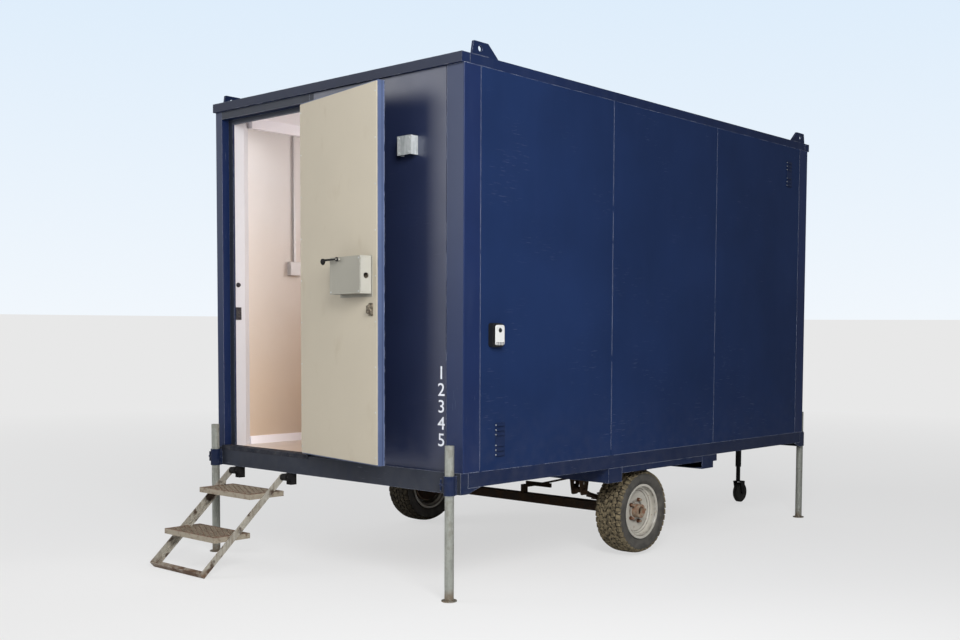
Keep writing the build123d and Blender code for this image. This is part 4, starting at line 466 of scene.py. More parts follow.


# Pressed steel wheel, sprayed cream: its recessed rings darkened by brake dust, mud and painted shade.
def wheelEnamel(name, enamel):
    tree, shader, coords = startMaterial(name, {})
    radius = hubDistance(coords)
    tone = patches(coords, 60, 0.3, 0.7)
    colour = layOver(enamel["coat"], shade(enamel["coat"], 1.15), tone)
    speckle = patches(coords, 25, 0.1, 0.75, detail=3.0)
    # dirt and painted shade darken each recessed ring of the pressing
    for ring, width in enamel["rings"]:
        offset = addNode(tree, "Math", {"operation": "SUBTRACT", 0: radius, 1: ring})
        distance = addNode(tree, "Math", {"operation": "ABSOLUTE", 0: offset})
        limits = {"Value": distance, "From Min": width, "From Max": width * 0.3}
        band = addNode(tree, "MapRange", limits)
        colour = layOver(colour, enamel["dirt"], band, speckle)
    spots = patches(coords, 16, 0.63, 0.72, detail=5.0)
    colour = layOver(colour, enamel["rust"], spots)
    tree.links.new(colour, shader.inputs["Base Color"])
    roughen(shader, speckle, 0.28, 0.5)


# each dark ring, of dirt and painted shade, by its radius and half width, in metres
creamWheel = {
    "coat": "#b3afa5", "dirt": "#4f483e", "rust": "#86664d",
    "rings": ((0.1525, 0.004), (0.139, 0.003), (0.127, 0.005), (0.060, 0.014)),
}
wheelEnamel("creamWheelEnamel", creamWheel)


# Fold-out step treads: galvanised edges round a trodden, rust-brown top.
def trodden(name, tread):
    tree, shader, coords = startMaterial(name, {"Metallic": 0.15, "Roughness": 0.6})
    up = addNode(tree, "SeparateXYZ", {0: coords.node.outputs["Normal"]}, "Z")
    top = addNode(tree, "MapRange", {"Value": up, "From Min": 0.5, "From Max": 0.7})
    cloud = patches(coords, 22, 0.35, 0.65, detail=7.0)
    brown = layOver(tread["brown"], tread["dust"], cloud)
    spots = patches(coords, 30, 0.55, 0.75, detail=6.0)
    edge = layOver(tread["zinc"], tread["brown"], spots)
    tree.links.new(layOver(edge, brown, top), shader.inputs["Base Color"])
    raiseGrain(shader, coords, 4, 6.0, 0.3, 0.0006)  # pits


stepTread = {"brown": "#674e3e", "dust": "#907661", "zinc": "#9d9382"}
trodden("troddenGalvanised", stepTread)

# Places on the open door are measured along the leaf and out from it, from its hinge pin.
door = {
    "pin": Vector(joints["door_hinge"]["pos_m"]), "slant": math.radians(10.5), "length": 0.834,
    "lining": 0.055, "skin": 0.0125, "blend": 0.001, "seam": 0.024, "seamFull": 0.0008, "seamEnd": 0.0022,
    "edge": "#4f5c7d", "seamShade": "#1d263f", "navy": "#161e36", "worn": "#9aa3bb",
}
doorAlong = Vector((math.cos(door["slant"]), -math.sin(door["slant"]), 0))
doorOut = Vector((-math.sin(door["slant"]), -math.cos(door["slant"]), 0))


def doorPoint(along, height, off):
    pin = Vector((door["pin"].x, door["pin"].y, 0))
    return pin + doorAlong * along + doorOut * off + Vector((0, 0, height))


# The door's tray: satin blue-grey paint on the folded edge, with the dark line of the fold's
# seam, and the cabin's navy on its outer skin.
def doorPaint(name):
    tree, shader, coords = startMaterial(name, {"Specular IOR Level": 0.3, "Roughness": 0.4})
    placed = addNode(tree, "VectorMath", {"operation": "SUBTRACT", 0: coords, 1: door["pin"]})
    depth = addNode(tree, "VectorMath", {"operation": "DOT_PRODUCT", 0: placed, 1: doorOut}, "Value")
    skin = {"Value": depth, "From Min": door["skin"] - door["blend"], "From Max": door["skin"]}
    inner = addNode(tree, "MapRange", skin)
    tone = patches(coords, 200, 0.3, 0.7)
    edge = layOver(shade(door["edge"], 0.88), shade(door["edge"], 1.1), tone)
    offset = addNode(tree, "Math", {"operation": "SUBTRACT", 0: depth, 1: door["seam"]})
    away = addNode(tree, "Math", {"operation": "ABSOLUTE", 0: offset})
    line = {"Value": away, "From Min": door["seamEnd"], "From Max": door["seamFull"]}
    seam = addNode(tree, "MapRange", line)
    edge = layOver(edge, door["seamShade"], seam)
    colour = layOver(door["navy"], edge, inner)
    colour = layOver(colour, door["worn"], wornEdges(coords, 2, 60, 0.2))
    tree.links.new(colour, shader.inputs["Base Color"])
    raiseGrain(shader, coords, 400, 1.0, 0.2, 0.004)  # waves in the sheet


doorPaint("blueGreyDoorPaint")

nodeMaterials = {
    "navySheetPaint": "right_wall left_wall rear_wall",
    "shadedVentPaint": "wall_vents",
    "navyPostPaint": "corner_posts",
    "navyRailPaint": "lifting_lugs chassis_rails cross_members drawbar_plates drawbar_tubes leg_sleeves",
    "navySillPaint": "bottom_rails door_head door_jambs",
    "navyEndPaint": "front_wall",
    "navyFasciaPaint": "top_rails",
    "blueGreyDoorPaint": "door_leaf",
    "creamDoor": "door_lining",
    "lockGreenPaint": "lock_cover",
    "lockRust": "lock_cases",
    "keepRust": "door_keeps",
    "legZinc": (
        "prop_leg_front_left prop_leg_front_right prop_leg_rear_left prop_leg_rear_right "
        "floor_joists"
    ),
    "stepZinc": "step_frame",
    "troddenGalvanised": "step_treads",
    "fittingZinc": "inlet_hood door_hinges frame_hinges",
    "roofZinc": "roof_panel",
    "axleRust": "axle_beam axle_clamps leaf_springs spring_hangers brake_linkage",
    "hubRust": "hub_left hub_right",
    "creamWheelEnamel": "rim_left rim_right",
    "sillWorn": "sill_plate",
    "blackSteel": "step_hangers door_lever jockey_tube jockey_fork tow_coupling",
    "blackPlastic": "key_safe",
    "solidRubber": "jockey_wheel",
    "tyreRubber": "tyre_left tyre_right",
    "whiteTrim": "corner_boxings",
    "paintedLightTrim": "ceiling_lining wall_trims",
    "vinylFacedBoard": "wall_linings",
    "floorVinyl": "floor_covering",
    "deckPly": "floor_deck",
    "switchPlastic": "switch_box",
}
for materialName, nodeNames in nodeMaterials.items():
    for nodeName in nodeNames.split():
        nodes[nodeName].data.materials.clear()
        nodes[nodeName].data.materials.append(bpy.data.materials[materialName])
print("materials on CAD nodes")


# small tools for modelling

def startPiece(name, operator, settings):  # a primitive, alone in the selection
    bpy.ops.object.select_all(action="DESELECT")
    operator(**settings)
    piece = bpy.context.object
    piece.name = name
    return piece


def pickParts(piece, kind, test):  # in edit mode, selects the faces or edges that pass the test
    bpy.ops.mesh.select_mode(type=kind)
    bpy.ops.mesh.select_all(action="DESELECT")
    bpy.ops.object.mode_set(mode="OBJECT")
    for part in piece.data.polygons if kind == "FACE" else piece.data.edges:
        part.select = test(part)
    bpy.ops.object.mode_set(mode="EDIT")


def finishPiece(piece, body, materialName):  # place in the mesh, material and body
    bpy.ops.object.select_all(action="DESELECT")
    piece.select_set(True)
    bpy.context.view_layer.objects.active = piece
    bpy.ops.object.transform_apply()
    piece.data.materials.clear()
    piece.data.materials.append(bpy.data.materials[materialName])
    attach(piece, body)


def facing(place, normal, turn=0.0):  # from a piece modelled up the Z axis to a place and direction
    tilt = Vector(normal).to_track_quat("Z", "Y").to_matrix().to_4x4()
    return Matrix.Translation(place) @ tilt @ Matrix.Rotation(turn, 4, "Z")


def joinPieces(pieces, name):  # the others are joined to the last one
    bpy.ops.object.select_all(action="DESELECT")
    for piece in pieces:
        piece.select_set(True)
    bpy.context.view_layer.objects.active = pieces[-1]
    bpy.ops.object.join()
    pieces[-1].name = name
    return pieces[-1]


def placeCopies(model, name, places):  # copies with their own meshes, joined into one piece
    copies = []
    for place in places:
        copy = model.copy()
        copy.data = model.data.copy()
        copy.data.transform(place)
        bpy.context.scene.collection.objects.link(copy)
        copies.append(copy)
    bpy.data.objects.remove(model)
    return joinPieces(copies, name)


def startBlock(name, size, place):  # a cube stretched to size at its place, left in edit mode
    piece = startPiece(name, bpy.ops.mesh.primitive_cube_add, {"size": 1, "location": place})
    piece.scale = size
    bpy.ops.object.transform_apply()
    bpy.ops.object.mode_set(mode="EDIT")
    return piece


def startDisc(name, sides, size):  # an upright cylinder, seat at z = 0, left in edit mode
    piece = startPiece(name, bpy.ops.mesh.primitive_cylinder_add, {
        "vertices": sides, "radius": size["radius"], "depth": size["height"],
        "location": (0, 0, size["height"] / 2),
    })
    bpy.ops.object.transform_apply()
    bpy.ops.object.mode_set(mode="EDIT")
    return piece


# parts of the head's radius and height
screwShape = {"sides": 12, "rim": 0.3, "dome": 0.35, "wall": 0.35, "recess": 0.6}
nutShape = {"sides": 6, "chamfer": 0.12, "land": 0.36}


def screwHead(name, head):  # domed head with a round recess, seat at z = 0
    piece = startDisc(name, screwShape["sides"], head)
    pickParts(piece, "FACE", lambda face: face.normal.z > 0.9)
    bpy.ops.mesh.inset(thickness=head["radius"] * screwShape["rim"])
    bpy.ops.transform.translate(value=(0, 0, head["height"] * screwShape["dome"]))
    bpy.ops.mesh.inset(thickness=head["radius"] * screwShape["wall"])
    sink = (0, 0, -head["height"] * screwShape["recess"])
    bpy.ops.mesh.extrude_region_move(TRANSFORM_OT_translate={"value": sink})
    bpy.ops.object.mode_set(mode="OBJECT")
    return piece


def hexNut(name, nut):  # six-sided nut with a chamfered top and a bore, seat at z = 0
    piece = startDisc(name, nutShape["sides"], nut)
    pickParts(piece, "FACE", lambda face: face.normal.z > 0.9)
    bpy.ops.mesh.bevel(offset=nut["radius"] * nutShape["chamfer"], segments=2, affect="EDGES")
    pickParts(piece, "FACE", lambda face: abs(face.normal.z) > 0.99)
    bpy.ops.mesh.inset(thickness=nut["radius"] * nutShape["land"])
    bpy.ops.mesh.bridge_edge_loops()
    bpy.ops.mesh.select_all(action="SELECT")
    bpy.ops.mesh.normals_make_consistent()
    bpy.ops.object.mode_set(mode="OBJECT")
    return piece


# tyres: a squarish carcass spun from its section, and a ring of staggered tread blocks

tyre = {
    "halfWidth": 0.0970, "middleRadius": 0.2095, "halfHeight": 0.0455, "squareness": 0.62, "beadAngle": -60,
    "seatRadius": 0.1595, "seatAcross": 0.0600, "sectionSteps": 24, "steps": 90, "mergeGap": 0.00005,
    "centre": 0.9325, "pitches": 40, "blockHeight": 0.014, "blockBevel": 0.0022,
    # across, offset round the tyre in pitches, top radius, width, length, turn and lean of each block
    "blocks": (
        (-0.0145, 0.00, 0.2612, 0.0255, 0.0345, 24, 0), (0.0145, 0.50, 0.2612, 0.0255, 0.0345, 24, 0),
        (-0.0450, 0.35, 0.2598, 0.0275, 0.0345, -20, -4), (0.0450, 0.15, 0.2598, 0.0275, 0.0345, -20, 4),
        (-0.0780, 0.80, 0.2515, 0.0310, 0.0330, 10, -23), (0.0780, 0.70, 0.2515, 0.0310, 0.0330, 10, 23),
    ),
}


def tyreSection():  # points round the carcass from bead to bead, as across and radius
    points = [(tyre["seatAcross"], tyre["seatRadius"])]
    sweep = 180 - 2 * tyre["beadAngle"]
    for step in range(tyre["sectionSteps"] + 1):
        angle = math.radians(tyre["beadAngle"] + step * sweep / tyre["sectionSteps"])
        out, up = math.cos(angle), math.sin(angle)
        across = math.copysign(abs(out) ** tyre["squareness"], out) * tyre["halfWidth"]
        rise = math.copysign(abs(up) ** tyre["squareness"], up) * tyre["halfHeight"]
        points.append((across, tyre["middleRadius"] + rise))
    points.append((-tyre["seatAcross"], tyre["seatRadius"]))
    return [Vector((across, 0, radius)) for across, radius in points]


def buildCarcass(name):
    piece = startPiece(name, bpy.ops.mesh.primitive_plane_add, {"size": 0.01})
    section = tyreSection()
    bpy.ops.object.mode_set(mode="EDIT")
    bpy.ops.mesh.select_all(action="SELECT")
    bpy.ops.mesh.merge(type="CENTER")
    bpy.ops.transform.translate(value=section[0])
    for before, after in zip(section, section[1:] + section[:1]):
        bpy.ops.mesh.extrude_vertices_move(TRANSFORM_OT_translate={"value": after - before})
    bpy.ops.mesh.select_all(action="SELECT")
    bpy.ops.mesh.remove_doubles(threshold=tyre["mergeGap"])
    bpy.ops.mesh.select_all(action="SELECT")
    bpy.ops.mesh.spin(steps=tyre["steps"], angle=2 * math.pi, center=(0, 0, 0), axis=(1, 0, 0))
    bpy.ops.mesh.select_all(action="SELECT")
    bpy.ops.mesh.remove_doubles(threshold=tyre["mergeGap"])
    bpy.ops.mesh.normals_make_consistent()
    bpy.ops.object.mode_set(mode="OBJECT")
    bpy.ops.object.shade_smooth()
    return piece


def buildBlocks(name):  # one pitch of blocks, then the ring of pitches
    piece = startPiece(name, bpy.ops.mesh.primitive_cube_add, {"size": 1})
    bpy.ops.object.mode_set(mode="EDIT")
    bpy.ops.mesh.delete(type="VERT")
    pitch = 2 * math.pi * tyre["blocks"][0][2] / tyre["pitches"]
    for across, offset, top, width, length, turn, lean in tyre["blocks"]:
        along = offset * pitch
        centre = Vector((across, along, top - tyre["blockHeight"] / 2 - along ** 2 / (2 * top)))
        bpy.ops.mesh.primitive_cube_add(size=1, location=centre)
        bpy.ops.transform.resize(value=(width, length, tyre["blockHeight"]), center_override=centre)
        bpy.ops.transform.rotate(value=math.radians(turn), orient_axis="Z", center_override=centre)
        bpy.ops.transform.rotate(value=-math.radians(lean), orient_axis="Y", center_override=centre)
        bpy.ops.transform.rotate(value=along / top, orient_axis="X", center_override=centre)
    bpy.ops.mesh.select_all(action="SELECT")
    bpy.ops.mesh.bevel(offset=tyre["blockBevel"], segments=1, affect="EDGES")
    bpy.ops.mesh.select_all(action="SELECT")
    ring = {"steps": tyre["pitches"], "dupli": True, "angle": 2 * math.pi}
    bpy.ops.mesh.spin(**ring, center=(0, 0, 0), axis=(1, 0, 0))
    bpy.ops.mesh.delete(type="VERT")
    bpy.ops.object.mode_set(mode="OBJECT")
    return piece


# the left wheel gets the tread painted darker, as painted shade under the cabin
for side, sign, rubber in (("left", -1, "shadedTreadRubber"), ("right", 1, "dustyTreadRubber")):
    turned = Matrix.Rotation(math.pi if sign < 0 else 0.0, 4, "Z")
    place = Matrix.Translation((sign * tyre["centre"], hubPlace.y, hubPlace.z)) @ turned
    carcass = buildCarcass("tyreCarcass_" + side)
    carcass.data.transform(place)
    finishPiece(carcass, "wheel_" + side, "tyreRubber")
    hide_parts("tyre_" + side)
    blocks = buildBlocks("treadBlocks_" + side)
    blocks.data.transform(place)
    finishPiece(blocks, "wheel_" + side, rubber)
print("tyres")

# wheel nuts, each turned a little from the last, and the clamp nuts above and below the springs

wheelNuts = {
    "radius": 0.0125, "height": 0.014, "circle": 0.070, "count": 5, "discDepth": 0.050, "rimFace": 1.016,
    "turn": 0.4,
}
for side, sign in (("left", -1), ("right", 1)):
    places = []
    for index in range(wheelNuts["count"]):
        angle = 2 * math.pi * index / wheelNuts["count"]
        place = Vector((
            sign * (wheelNuts["rimFace"] - wheelNuts["discDepth"]),
            hubPlace.y + wheelNuts["circle"] * math.cos(angle),
            hubPlace.z + wheelNuts["circle"] * math.sin(angle),
        ))
        places.append(facing(place, (sign, 0, 0), wheelNuts["turn"] * index))
    nuts = placeCopies(hexNut("nutModel", wheelNuts), "wheelNuts_" + side, places)
    finishPiece(nuts, "wheel_" + side, "nutRust")

clampNuts = {"radius": 0.0105, "height": 0.009, "spring": 0.750, "spread": 0.038, "sink": 0.010}
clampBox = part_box("axle_clamps")
places = []
for x in (clampNuts["spring"] - clampNuts["spread"], clampNuts["spring"] + clampNuts["spread"]):
    for sign in (-1, 1):
        for along in (-clampNuts["spread"], clampNuts["spread"]):
            y = hubPlace.y + along
            places.append(facing((sign * x, y, clampBox[1].z - clampNuts["sink"]), (0, 0, 1)))
            places.append(facing((sign * x, y, clampBox[0].z + clampNuts["sink"]), (0, 0, -1)))
nuts = placeCopies(hexNut("nutModel", clampNuts), "clampNuts", places)
finishPiece(nuts, "cabin", "nutRust")
print("nuts")


# screws on the door, the lock cover, the inlet hood, the hinges and the sill

def addScrews(name, head, places, body, materialName="fittingZinc"):
    piece = placeCopies(screwHead("screwModel", head), name, places)
    finishPiece(piece, body, materialName)


doorScrews = {
    "radius": 0.0042, "height": 0.0016, "lockInset": 0.017, "hingeInset": 0.021, "count": 9,
    "top": 2.60, "bottom": 0.72,
}
places = []
for index in range(doorScrews["count"]):
    rise = (doorScrews["top"] - doorScrews["bottom"]) / (doorScrews["count"] - 1)
    height = doorScrews["bottom"] + index * rise
    for along in (door["length"] - doorScrews["lockInset"], doorScrews["hingeInset"]):
        places.append(facing(doorPoint(along, height, door["lining"]), doorOut, index))
addScrews("doorScrews", doorScrews, places, "door")

lock = {"start": 0.467, "length": 0.310, "bottom": 1.570, "height": 0.195, "depth": 0.069}
lockScrews = {"radius": 0.0038, "height": 0.0016, "inset": 0.012}
inset = lockScrews["inset"]
places = []
for along in (lock["start"] + inset, lock["start"] + lock["length"] - inset):
    for height in (lock["bottom"] + inset, lock["bottom"] + lock["height"] - inset):
        places.append(facing(doorPoint(along, height, door["lining"] + lock["depth"]), doorOut, along))
addScrews("lockScrews", lockScrews, places, "door")

hood = {"inset": 0.012, "radius": 0.0055, "height": 0.0028}
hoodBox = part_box("inlet_hood")
inset = hood["inset"]
places = []
for x in (hoodBox[0].x + inset, hoodBox[1].x - inset):
    for z in (hoodBox[0].z + inset, hoodBox[1].z - inset):
        places.append(facing((x, hoodBox[0].y, z), (0, -1, 0), x + z))
addScrews("hoodScrews", hood, places, "cabin")

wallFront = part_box("front_wall")[0].y
hingeScrews = {
    "radius": 0.0045, "height": 0.0020, "gauge": 0.004, "acrosses": (0.018, 0.036), "drops": (0.012, 0.048),
    "rises": (0.850, 1.660, 2.480),
}
places = []
for height in hingeScrews["rises"]:
    for across in hingeScrews["acrosses"]:
        for drop in hingeScrews["drops"]:
            place = (door["pin"].x + across, wallFront - hingeScrews["gauge"], height - drop)
            places.append(facing(place, (0, -1, 0), across * 90))
addScrews("hingeScrews", hingeScrews, places, "cabin")

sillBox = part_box("sill_plate")
sillScrews = {"radius": 0.0055, "height": 0.0014, "count": 6, "inset": 0.05}
sillRun = sillBox[1].x - sillBox[0].x - 2 * sillScrews["inset"]
places = []
for index in range(sillScrews["count"]):
    across = sillBox[0].x + sillScrews["inset"] + index * sillRun / (sillScrews["count"] - 1)
    places.append(facing((across, (sillBox[0].y + sillBox[1].y) / 2, sillBox[1].z), (0, 0, 1), index))
addScrews("sillScrews", sillScrews, places, "cabin", "nutRust")
print("screws")

# bright rivets beside the vent slots

vents = {
    "radius": 0.0035, "height": 0.0016, "setback": 0.278, "rearInset": 0.280, "slotWidth": 0.058,
    "lower": (0.839, 0.733), "upper": (2.555, 2.445), "pitch": 0.025, "rows": 3, "gauge": 0.002,
    "gap": 0.0045,
}
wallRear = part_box("rear_wall")[1].y
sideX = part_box("right_wall")[1].x
places = []
for ventY, groups in (
    (wallFront + vents["setback"], vents["lower"]), (wallRear - vents["rearInset"], vents["upper"]),
):
    for group in groups:
        for row in range(vents["rows"]):
            y = ventY - vents["slotWidth"] / 2 - vents["gap"]
            places.append(facing((sideX + vents["gauge"], y, group + row * vents["pitch"]), (1, 0, 0)))
addScrews("ventRivets", vents, places, "cabin")

# unit number painted down the end wall, in plain digits

unitNumber = {
    "digits": "12345", "height": 0.066, "pitch": 0.087, "top": 1.198, "across": 0.9075, "proud": 0.0004,
    "widen": 1.15, "bolder": 0.004,
}
upright = Matrix.Rotation(math.pi / 2, 4, "X")
digitPieces = []
for index, digit in enumerate(unitNumber["digits"]):
    bpy.ops.object.select_all(action="DESELECT")
    bpy.ops.object.text_add()
    piece = bpy.context.object
    piece.data.body = digit
    piece.data.align_x = "CENTER"
    piece.data.offset = unitNumber["bolder"]
    bpy.ops.object.convert(target="MESH")
    piece = bpy.context.object
    heights = [vertex.co.y for vertex in piece.data.vertices]
    widths = [vertex.co.x for vertex in piece.data.vertices]
    scale = unitNumber["height"] / (max(heights) - min(heights))
    centre = (max(widths) + min(widths)) / 2
    piece.data.transform(Matrix.Translation((-centre, -max(heights), 0)))
    top = unitNumber["top"] - index * unitNumber["pitch"]
    place = Matrix.Translation((unitNumber["across"], wallFront - unitNumber["proud"], top))
    stretch = Matrix.Scale(scale, 4) @ Matrix.Scale(unitNumber["widen"], 4, (1, 0, 0))
    piece.data.transform(place @ upright @ stretch)
    digitPieces.append(piece)
numberPiece = joinPieces(digitPieces[::-1], "unitNumber")
finishPiece(numberPiece, "cabin", "whiteSign")
print("unit number")

# expanded metal under the open tops of the treads

treadMesh = {
    "cell": 0.016, "squash": 0.45, "strand": 0.0028, "drop": 0.0050, "rim": 0.009, "cells": 56,
    "depth": 0.240, "levelDrop": 0.220,
}
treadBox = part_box("step_treads")
treadTop = treadBox[1].z
treadLevels = {
    "upper": (treadTop, treadBox[1].y - treadMesh["depth"], treadBox[1].y),
    "lower": (treadTop - treadMesh["levelDrop"], treadBox[0].y, treadBox[0].y + treadMesh["depth"]),
}
rim = treadMesh["rim"]
for label, (top, yLow, yHigh) in treadLevels.items():
    middle = Vector(((treadBox[0].x + treadBox[1].x) / 2, (yLow + yHigh) / 2, top - treadMesh["drop"]))
    piece = startPiece("treadMesh_" + label, bpy.ops.mesh.primitive_grid_add, {
        "x_subdivisions": treadMesh["cells"], "y_subdivisions": treadMesh["cells"],
        "size": treadMesh["cells"] * treadMesh["cell"], "location": middle,
    })
    bpy.ops.object.mode_set(mode="EDIT")
    bpy.ops.mesh.select_all(action="SELECT")
    bpy.ops.transform.rotate(value=math.radians(45), orient_axis="Z", center_override=middle)
    bpy.ops.transform.resize(value=(1, treadMesh["squash"], 1), center_override=middle)
    for normal, place in (
        ((1, 0, 0), (treadBox[1].x - rim, 0, 0)), ((-1, 0, 0), (treadBox[0].x + rim, 0, 0)),
        ((0, 1, 0), (0, yHigh - rim, 0)), ((0, -1, 0), (0, yLow + rim, 0)),
    ):
        bpy.ops.mesh.select_all(action="SELECT")
        bpy.ops.mesh.bisect(plane_co=place, plane_no=normal, clear_outer=True)
    bpy.ops.object.mode_set(mode="OBJECT")
    wires = piece.modifiers.new("strands", "WIREFRAME")
    wires.thickness = treadMesh["strand"]
    wires.use_even_offset = False
    bpy.ops.object.modifier_apply(modifier="strands")
    finishPiece(piece, "steps", "treadRust")
print("tread mesh")

# face of the key safe: a crowned silver plate with a knob above and two rows of small buttons

safeFace = {
    "width": 0.070, "height": 0.106, "depth": 0.0025, "proud": 0.0385, "corner": 0.013, "crown": 0.001,
    "rim": 0.0025, "buttonDrop": 0.040,
}
safeKnob = {
    "radius": 0.010, "depth": 0.0025, "rise": 0.028, "sides": 28, "shoulder": 0.002, "grip": 0.001,
    "rim": 0.0015,
}


def runsAcross(edge):  # an edge through the plate, from its back to its front
    start, end = (piece.data.vertices[index].co for index in edge.vertices)
    return abs(start.x - end.x) > safeFace["depth"] / 2


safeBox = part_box("key_safe")
safeMiddle = (safeBox[0] + safeBox[1]) / 2
safeFront = sideX + safeFace["proud"]
plateFront = safeFront + safeFace["depth"]
plateSize = (safeFace["depth"], safeFace["width"], safeFace["height"])
platePlace = (safeFront + safeFace["depth"] / 2, safeMiddle.y, safeMiddle.z)
piece = startBlock("safePlate", plateSize, platePlace)
pickParts(piece, "EDGE", runsAcross)
bpy.ops.mesh.bevel(offset=safeFace["corner"], segments=5, affect="EDGES")
pickParts(piece, "FACE", lambda face: face.normal.x > 0.9)
bpy.ops.mesh.inset(thickness=safeFace["rim"])
bpy.ops.transform.translate(value=(safeFace["crown"], 0, 0))
bpy.ops.object.mode_set(mode="OBJECT")
finishPiece(piece, "cabin", "silverFace")
piece = startPiece("safeKnob", bpy.ops.mesh.primitive_cylinder_add, {
    "vertices": safeKnob["sides"], "radius": safeKnob["radius"], "depth": safeKnob["depth"],
    "location": (plateFront + safeKnob["depth"] / 2, safeMiddle.y, safeMiddle.z + safeKnob["rise"]),
    "rotation": (0, math.pi / 2, 0),
})
bpy.ops.object.transform_apply()
bpy.ops.object.mode_set(mode="EDIT")
pickParts(piece, "FACE", lambda face: face.normal.x > 0.9)
bpy.ops.mesh.inset(thickness=safeKnob["shoulder"])
bpy.ops.mesh.extrude_region_move(TRANSFORM_OT_translate={"value": (safeKnob["grip"], 0, 0)})
bpy.ops.mesh.inset(thickness=safeKnob["rim"])
bpy.ops.object.mode_set(mode="OBJECT")
finishPiece(piece, "cabin", "knobGrey")
buttons = {"radius": 0.0038, "height": 0.0016, "pitch": 0.0125, "rows": (0.0, -0.0105), "columns": 5}
places = []
for row in buttons["rows"]:
    for column in range(buttons["columns"]):
        across = safeMiddle.y + (column - (buttons["columns"] - 1) / 2) * buttons["pitch"]
        height = safeMiddle.z - safeFace["buttonDrop"] + row
        places.append(facing((plateFront + safeFace["crown"], across, height), (1, 0, 0)))
addScrews("safeButtons", buttons, places, "cabin", "blackPlastic")
print("key safe")

# clips on the conduit above the switch

conduit = {
    "width": 0.016, "setback": 0.548, "clips": (1.95, 2.28, 2.58), "clipHeight": 0.014, "clipOver": 0.006,
    "clipBevel": 0.003, "stand": 0.018,
}
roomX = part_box("switch_box")[0].x
clipSize = (conduit["stand"], conduit["width"] + conduit["clipOver"], conduit["clipHeight"])
model = startBlock("clipModel", clipSize, (0, 0, 0))
pickParts(model, "FACE", lambda face: face.normal.x > 0.9)
bpy.ops.mesh.bevel(offset=conduit["clipBevel"], segments=2, affect="EDGES")
bpy.ops.object.mode_set(mode="OBJECT")
places = []
for height in conduit["clips"]:
    place = (roomX + conduit["stand"] / 2, wallFront + conduit["setback"], height)
    places.append(Matrix.Translation(place))
piece = placeCopies(model, "conduitClips", places)
finishPiece(piece, "cabin", "switchPlastic")
print("conduit clips")

# camera, floor, lamps

camera = {
    "place": (5.112, -6.3876, 1.358), "yaw": -0.7180, "pitch": -0.0556, "roll": -0.0055,
    "data": {"lens": 43.39, "sensor_width": 36, "shift_x": -0.0367, "shift_y": 0.0832, "clip_end": 1000},
}
cameraData = bpy.data.cameras.new("camera")
cameraObject = bpy.data.objects.new("camera", cameraData)
bpy.context.scene.collection.objects.link(cameraObject)
for setting, value in camera["data"].items():
    setattr(cameraData, setting, value)
cameraObject.location = camera["place"]
cameraObject.rotation_euler = (math.pi / 2 + camera["pitch"], camera["roll"], -camera["yaw"])
bpy.context.scene.camera = cameraObject

# The floor goes from near to far white with distance, and the backdrop from low to high with
# height above wallTop. Only the camera sees these; the cabin is lit by the lamps and the light.
studio = {
    "floor": "#ededed", "near": "#ffffff", "far": "#e8e8e8", "nearRadius": 3.5, "farRadius": 14.0,
    "nearGlow": 0.7, "size": 400, "drop": 0.0005, "wallTop": 0.0145, "skyTop": 0.3, "low": "#f1f7fd",
    "high": "#dcecfb", "light": (0.95, 0.97, 1.0, 1), "strength": 0.3,
}
floorPlace = {"size": studio["size"], "location": (0, 0, -studio["drop"])}
floor = startPiece("studioFloor", bpy.ops.mesh.primitive_plane_add, floorPlace)
matt = {"Roughness": 0.95, "Specular IOR Level": 0.05, "Base Color": hexColour(studio["floor"])}
tree, shader, coords = startMaterial("paleStudioFloor", matt)
distance = addNode(tree, "VectorMath", {"operation": "LENGTH", 0: coords}, "Value")
far = addNode(tree, "MapRange", {
    "Value": distance, "From Min": studio["nearRadius"], "From Max": studio["farRadius"],
    "To Min": studio["nearGlow"],
})
isCamera = addNode(tree, "LightPath", {}, "Is Camera Ray")
share = addNode(tree, "Math", {"operation": "MULTIPLY", 0: far, 1: isCamera})
glow = layOver(studio["near"], studio["far"], far)
plain = addNode(tree, "Emission", {"Color": glow})
mixed = addNode(tree, "MixShader", {0: share, 1: shader.outputs[0], 2: plain})
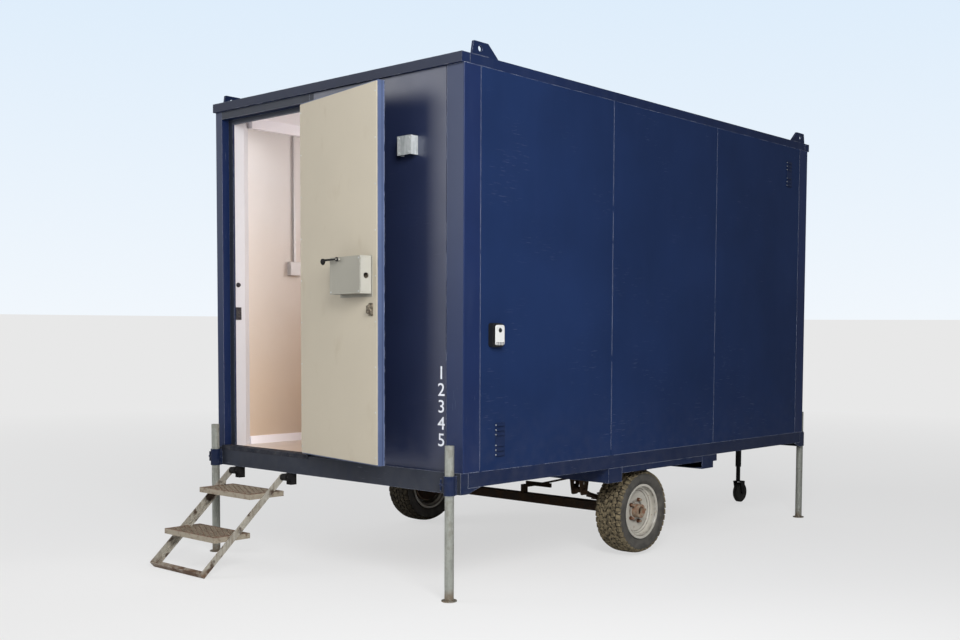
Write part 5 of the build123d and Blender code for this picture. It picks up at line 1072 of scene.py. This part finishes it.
tree.links.new(mixed, tree.nodes["Material Output"].inputs["Surface"])
floor.data.materials.append(bpy.data.materials["paleStudioFloor"])

world = bpy.data.worlds.new("studioWorld")
bpy.context.scene.world = world
world.use_nodes = True
tree = world.node_tree
light = tree.nodes["Background"]
light.inputs["Color"].default_value = studio["light"]
light.inputs["Strength"].default_value = studio["strength"]
direction = addNode(tree, "TexCoord", {}, "Generated")
rise = addNode(tree, "SeparateXYZ", {0: direction}, "Z")
rising = {"Value": rise, "From Min": studio["wallTop"], "From Max": studio["skyTop"]}
band = addNode(tree, "MapRange", rising)
backdrop = layOver(studio["low"], studio["high"], band)
aboveFloor = addNode(tree, "Math", {"operation": "GREATER_THAN", 0: rise, 1: studio["wallTop"]})
backdrop = layOver(studio["far"], backdrop, aboveFloor)
seen = addNode(tree, "Background", {"Color": backdrop})
isCamera = addNode(tree, "LightPath", {}, "Is Camera Ray")
mixed = addNode(tree, "MixShader", {0: isCamera, 1: light.outputs[0], 2: seen})
tree.links.new(mixed, tree.nodes["World Output"].inputs["Surface"])

lamps = {
    "key": {"kind": "AREA", "place": (4.4, -4.6, 3.4), "aim": (1.0, -1.2, 1.4), "size": 2, "power": 275},
    "front": {"kind": "AREA", "place": (-7.4, -9.9, 5.1), "aim": (0.3, -2.1, 1.8), "size": 6, "power": 450},
    "room": {"kind": "POINT", "place": (0.1, -0.5, 2.15), "aim": (0.1, -0.5, 0.7), "size": 0.35, "power": 40},
}
for name, lamp in lamps.items():
    lampData = bpy.data.lights.new(name, lamp["kind"])
    lampData.energy = lamp["power"]
    setattr(lampData, "size" if lamp["kind"] == "AREA" else "shadow_soft_size", lamp["size"])
    lampObject = bpy.data.objects.new(name, lampData)
    bpy.context.scene.collection.objects.link(lampObject)
    lampObject.visible_camera = False
    lampObject.location = lamp["place"]
    aim = Vector(lamp["aim"]) - Vector(lamp["place"])
    lampObject.rotation_euler = aim.to_track_quat("-Z", "Y").to_euler()
bpy.context.scene.view_settings.view_transform = "Standard"
print("camera, floor and lights")
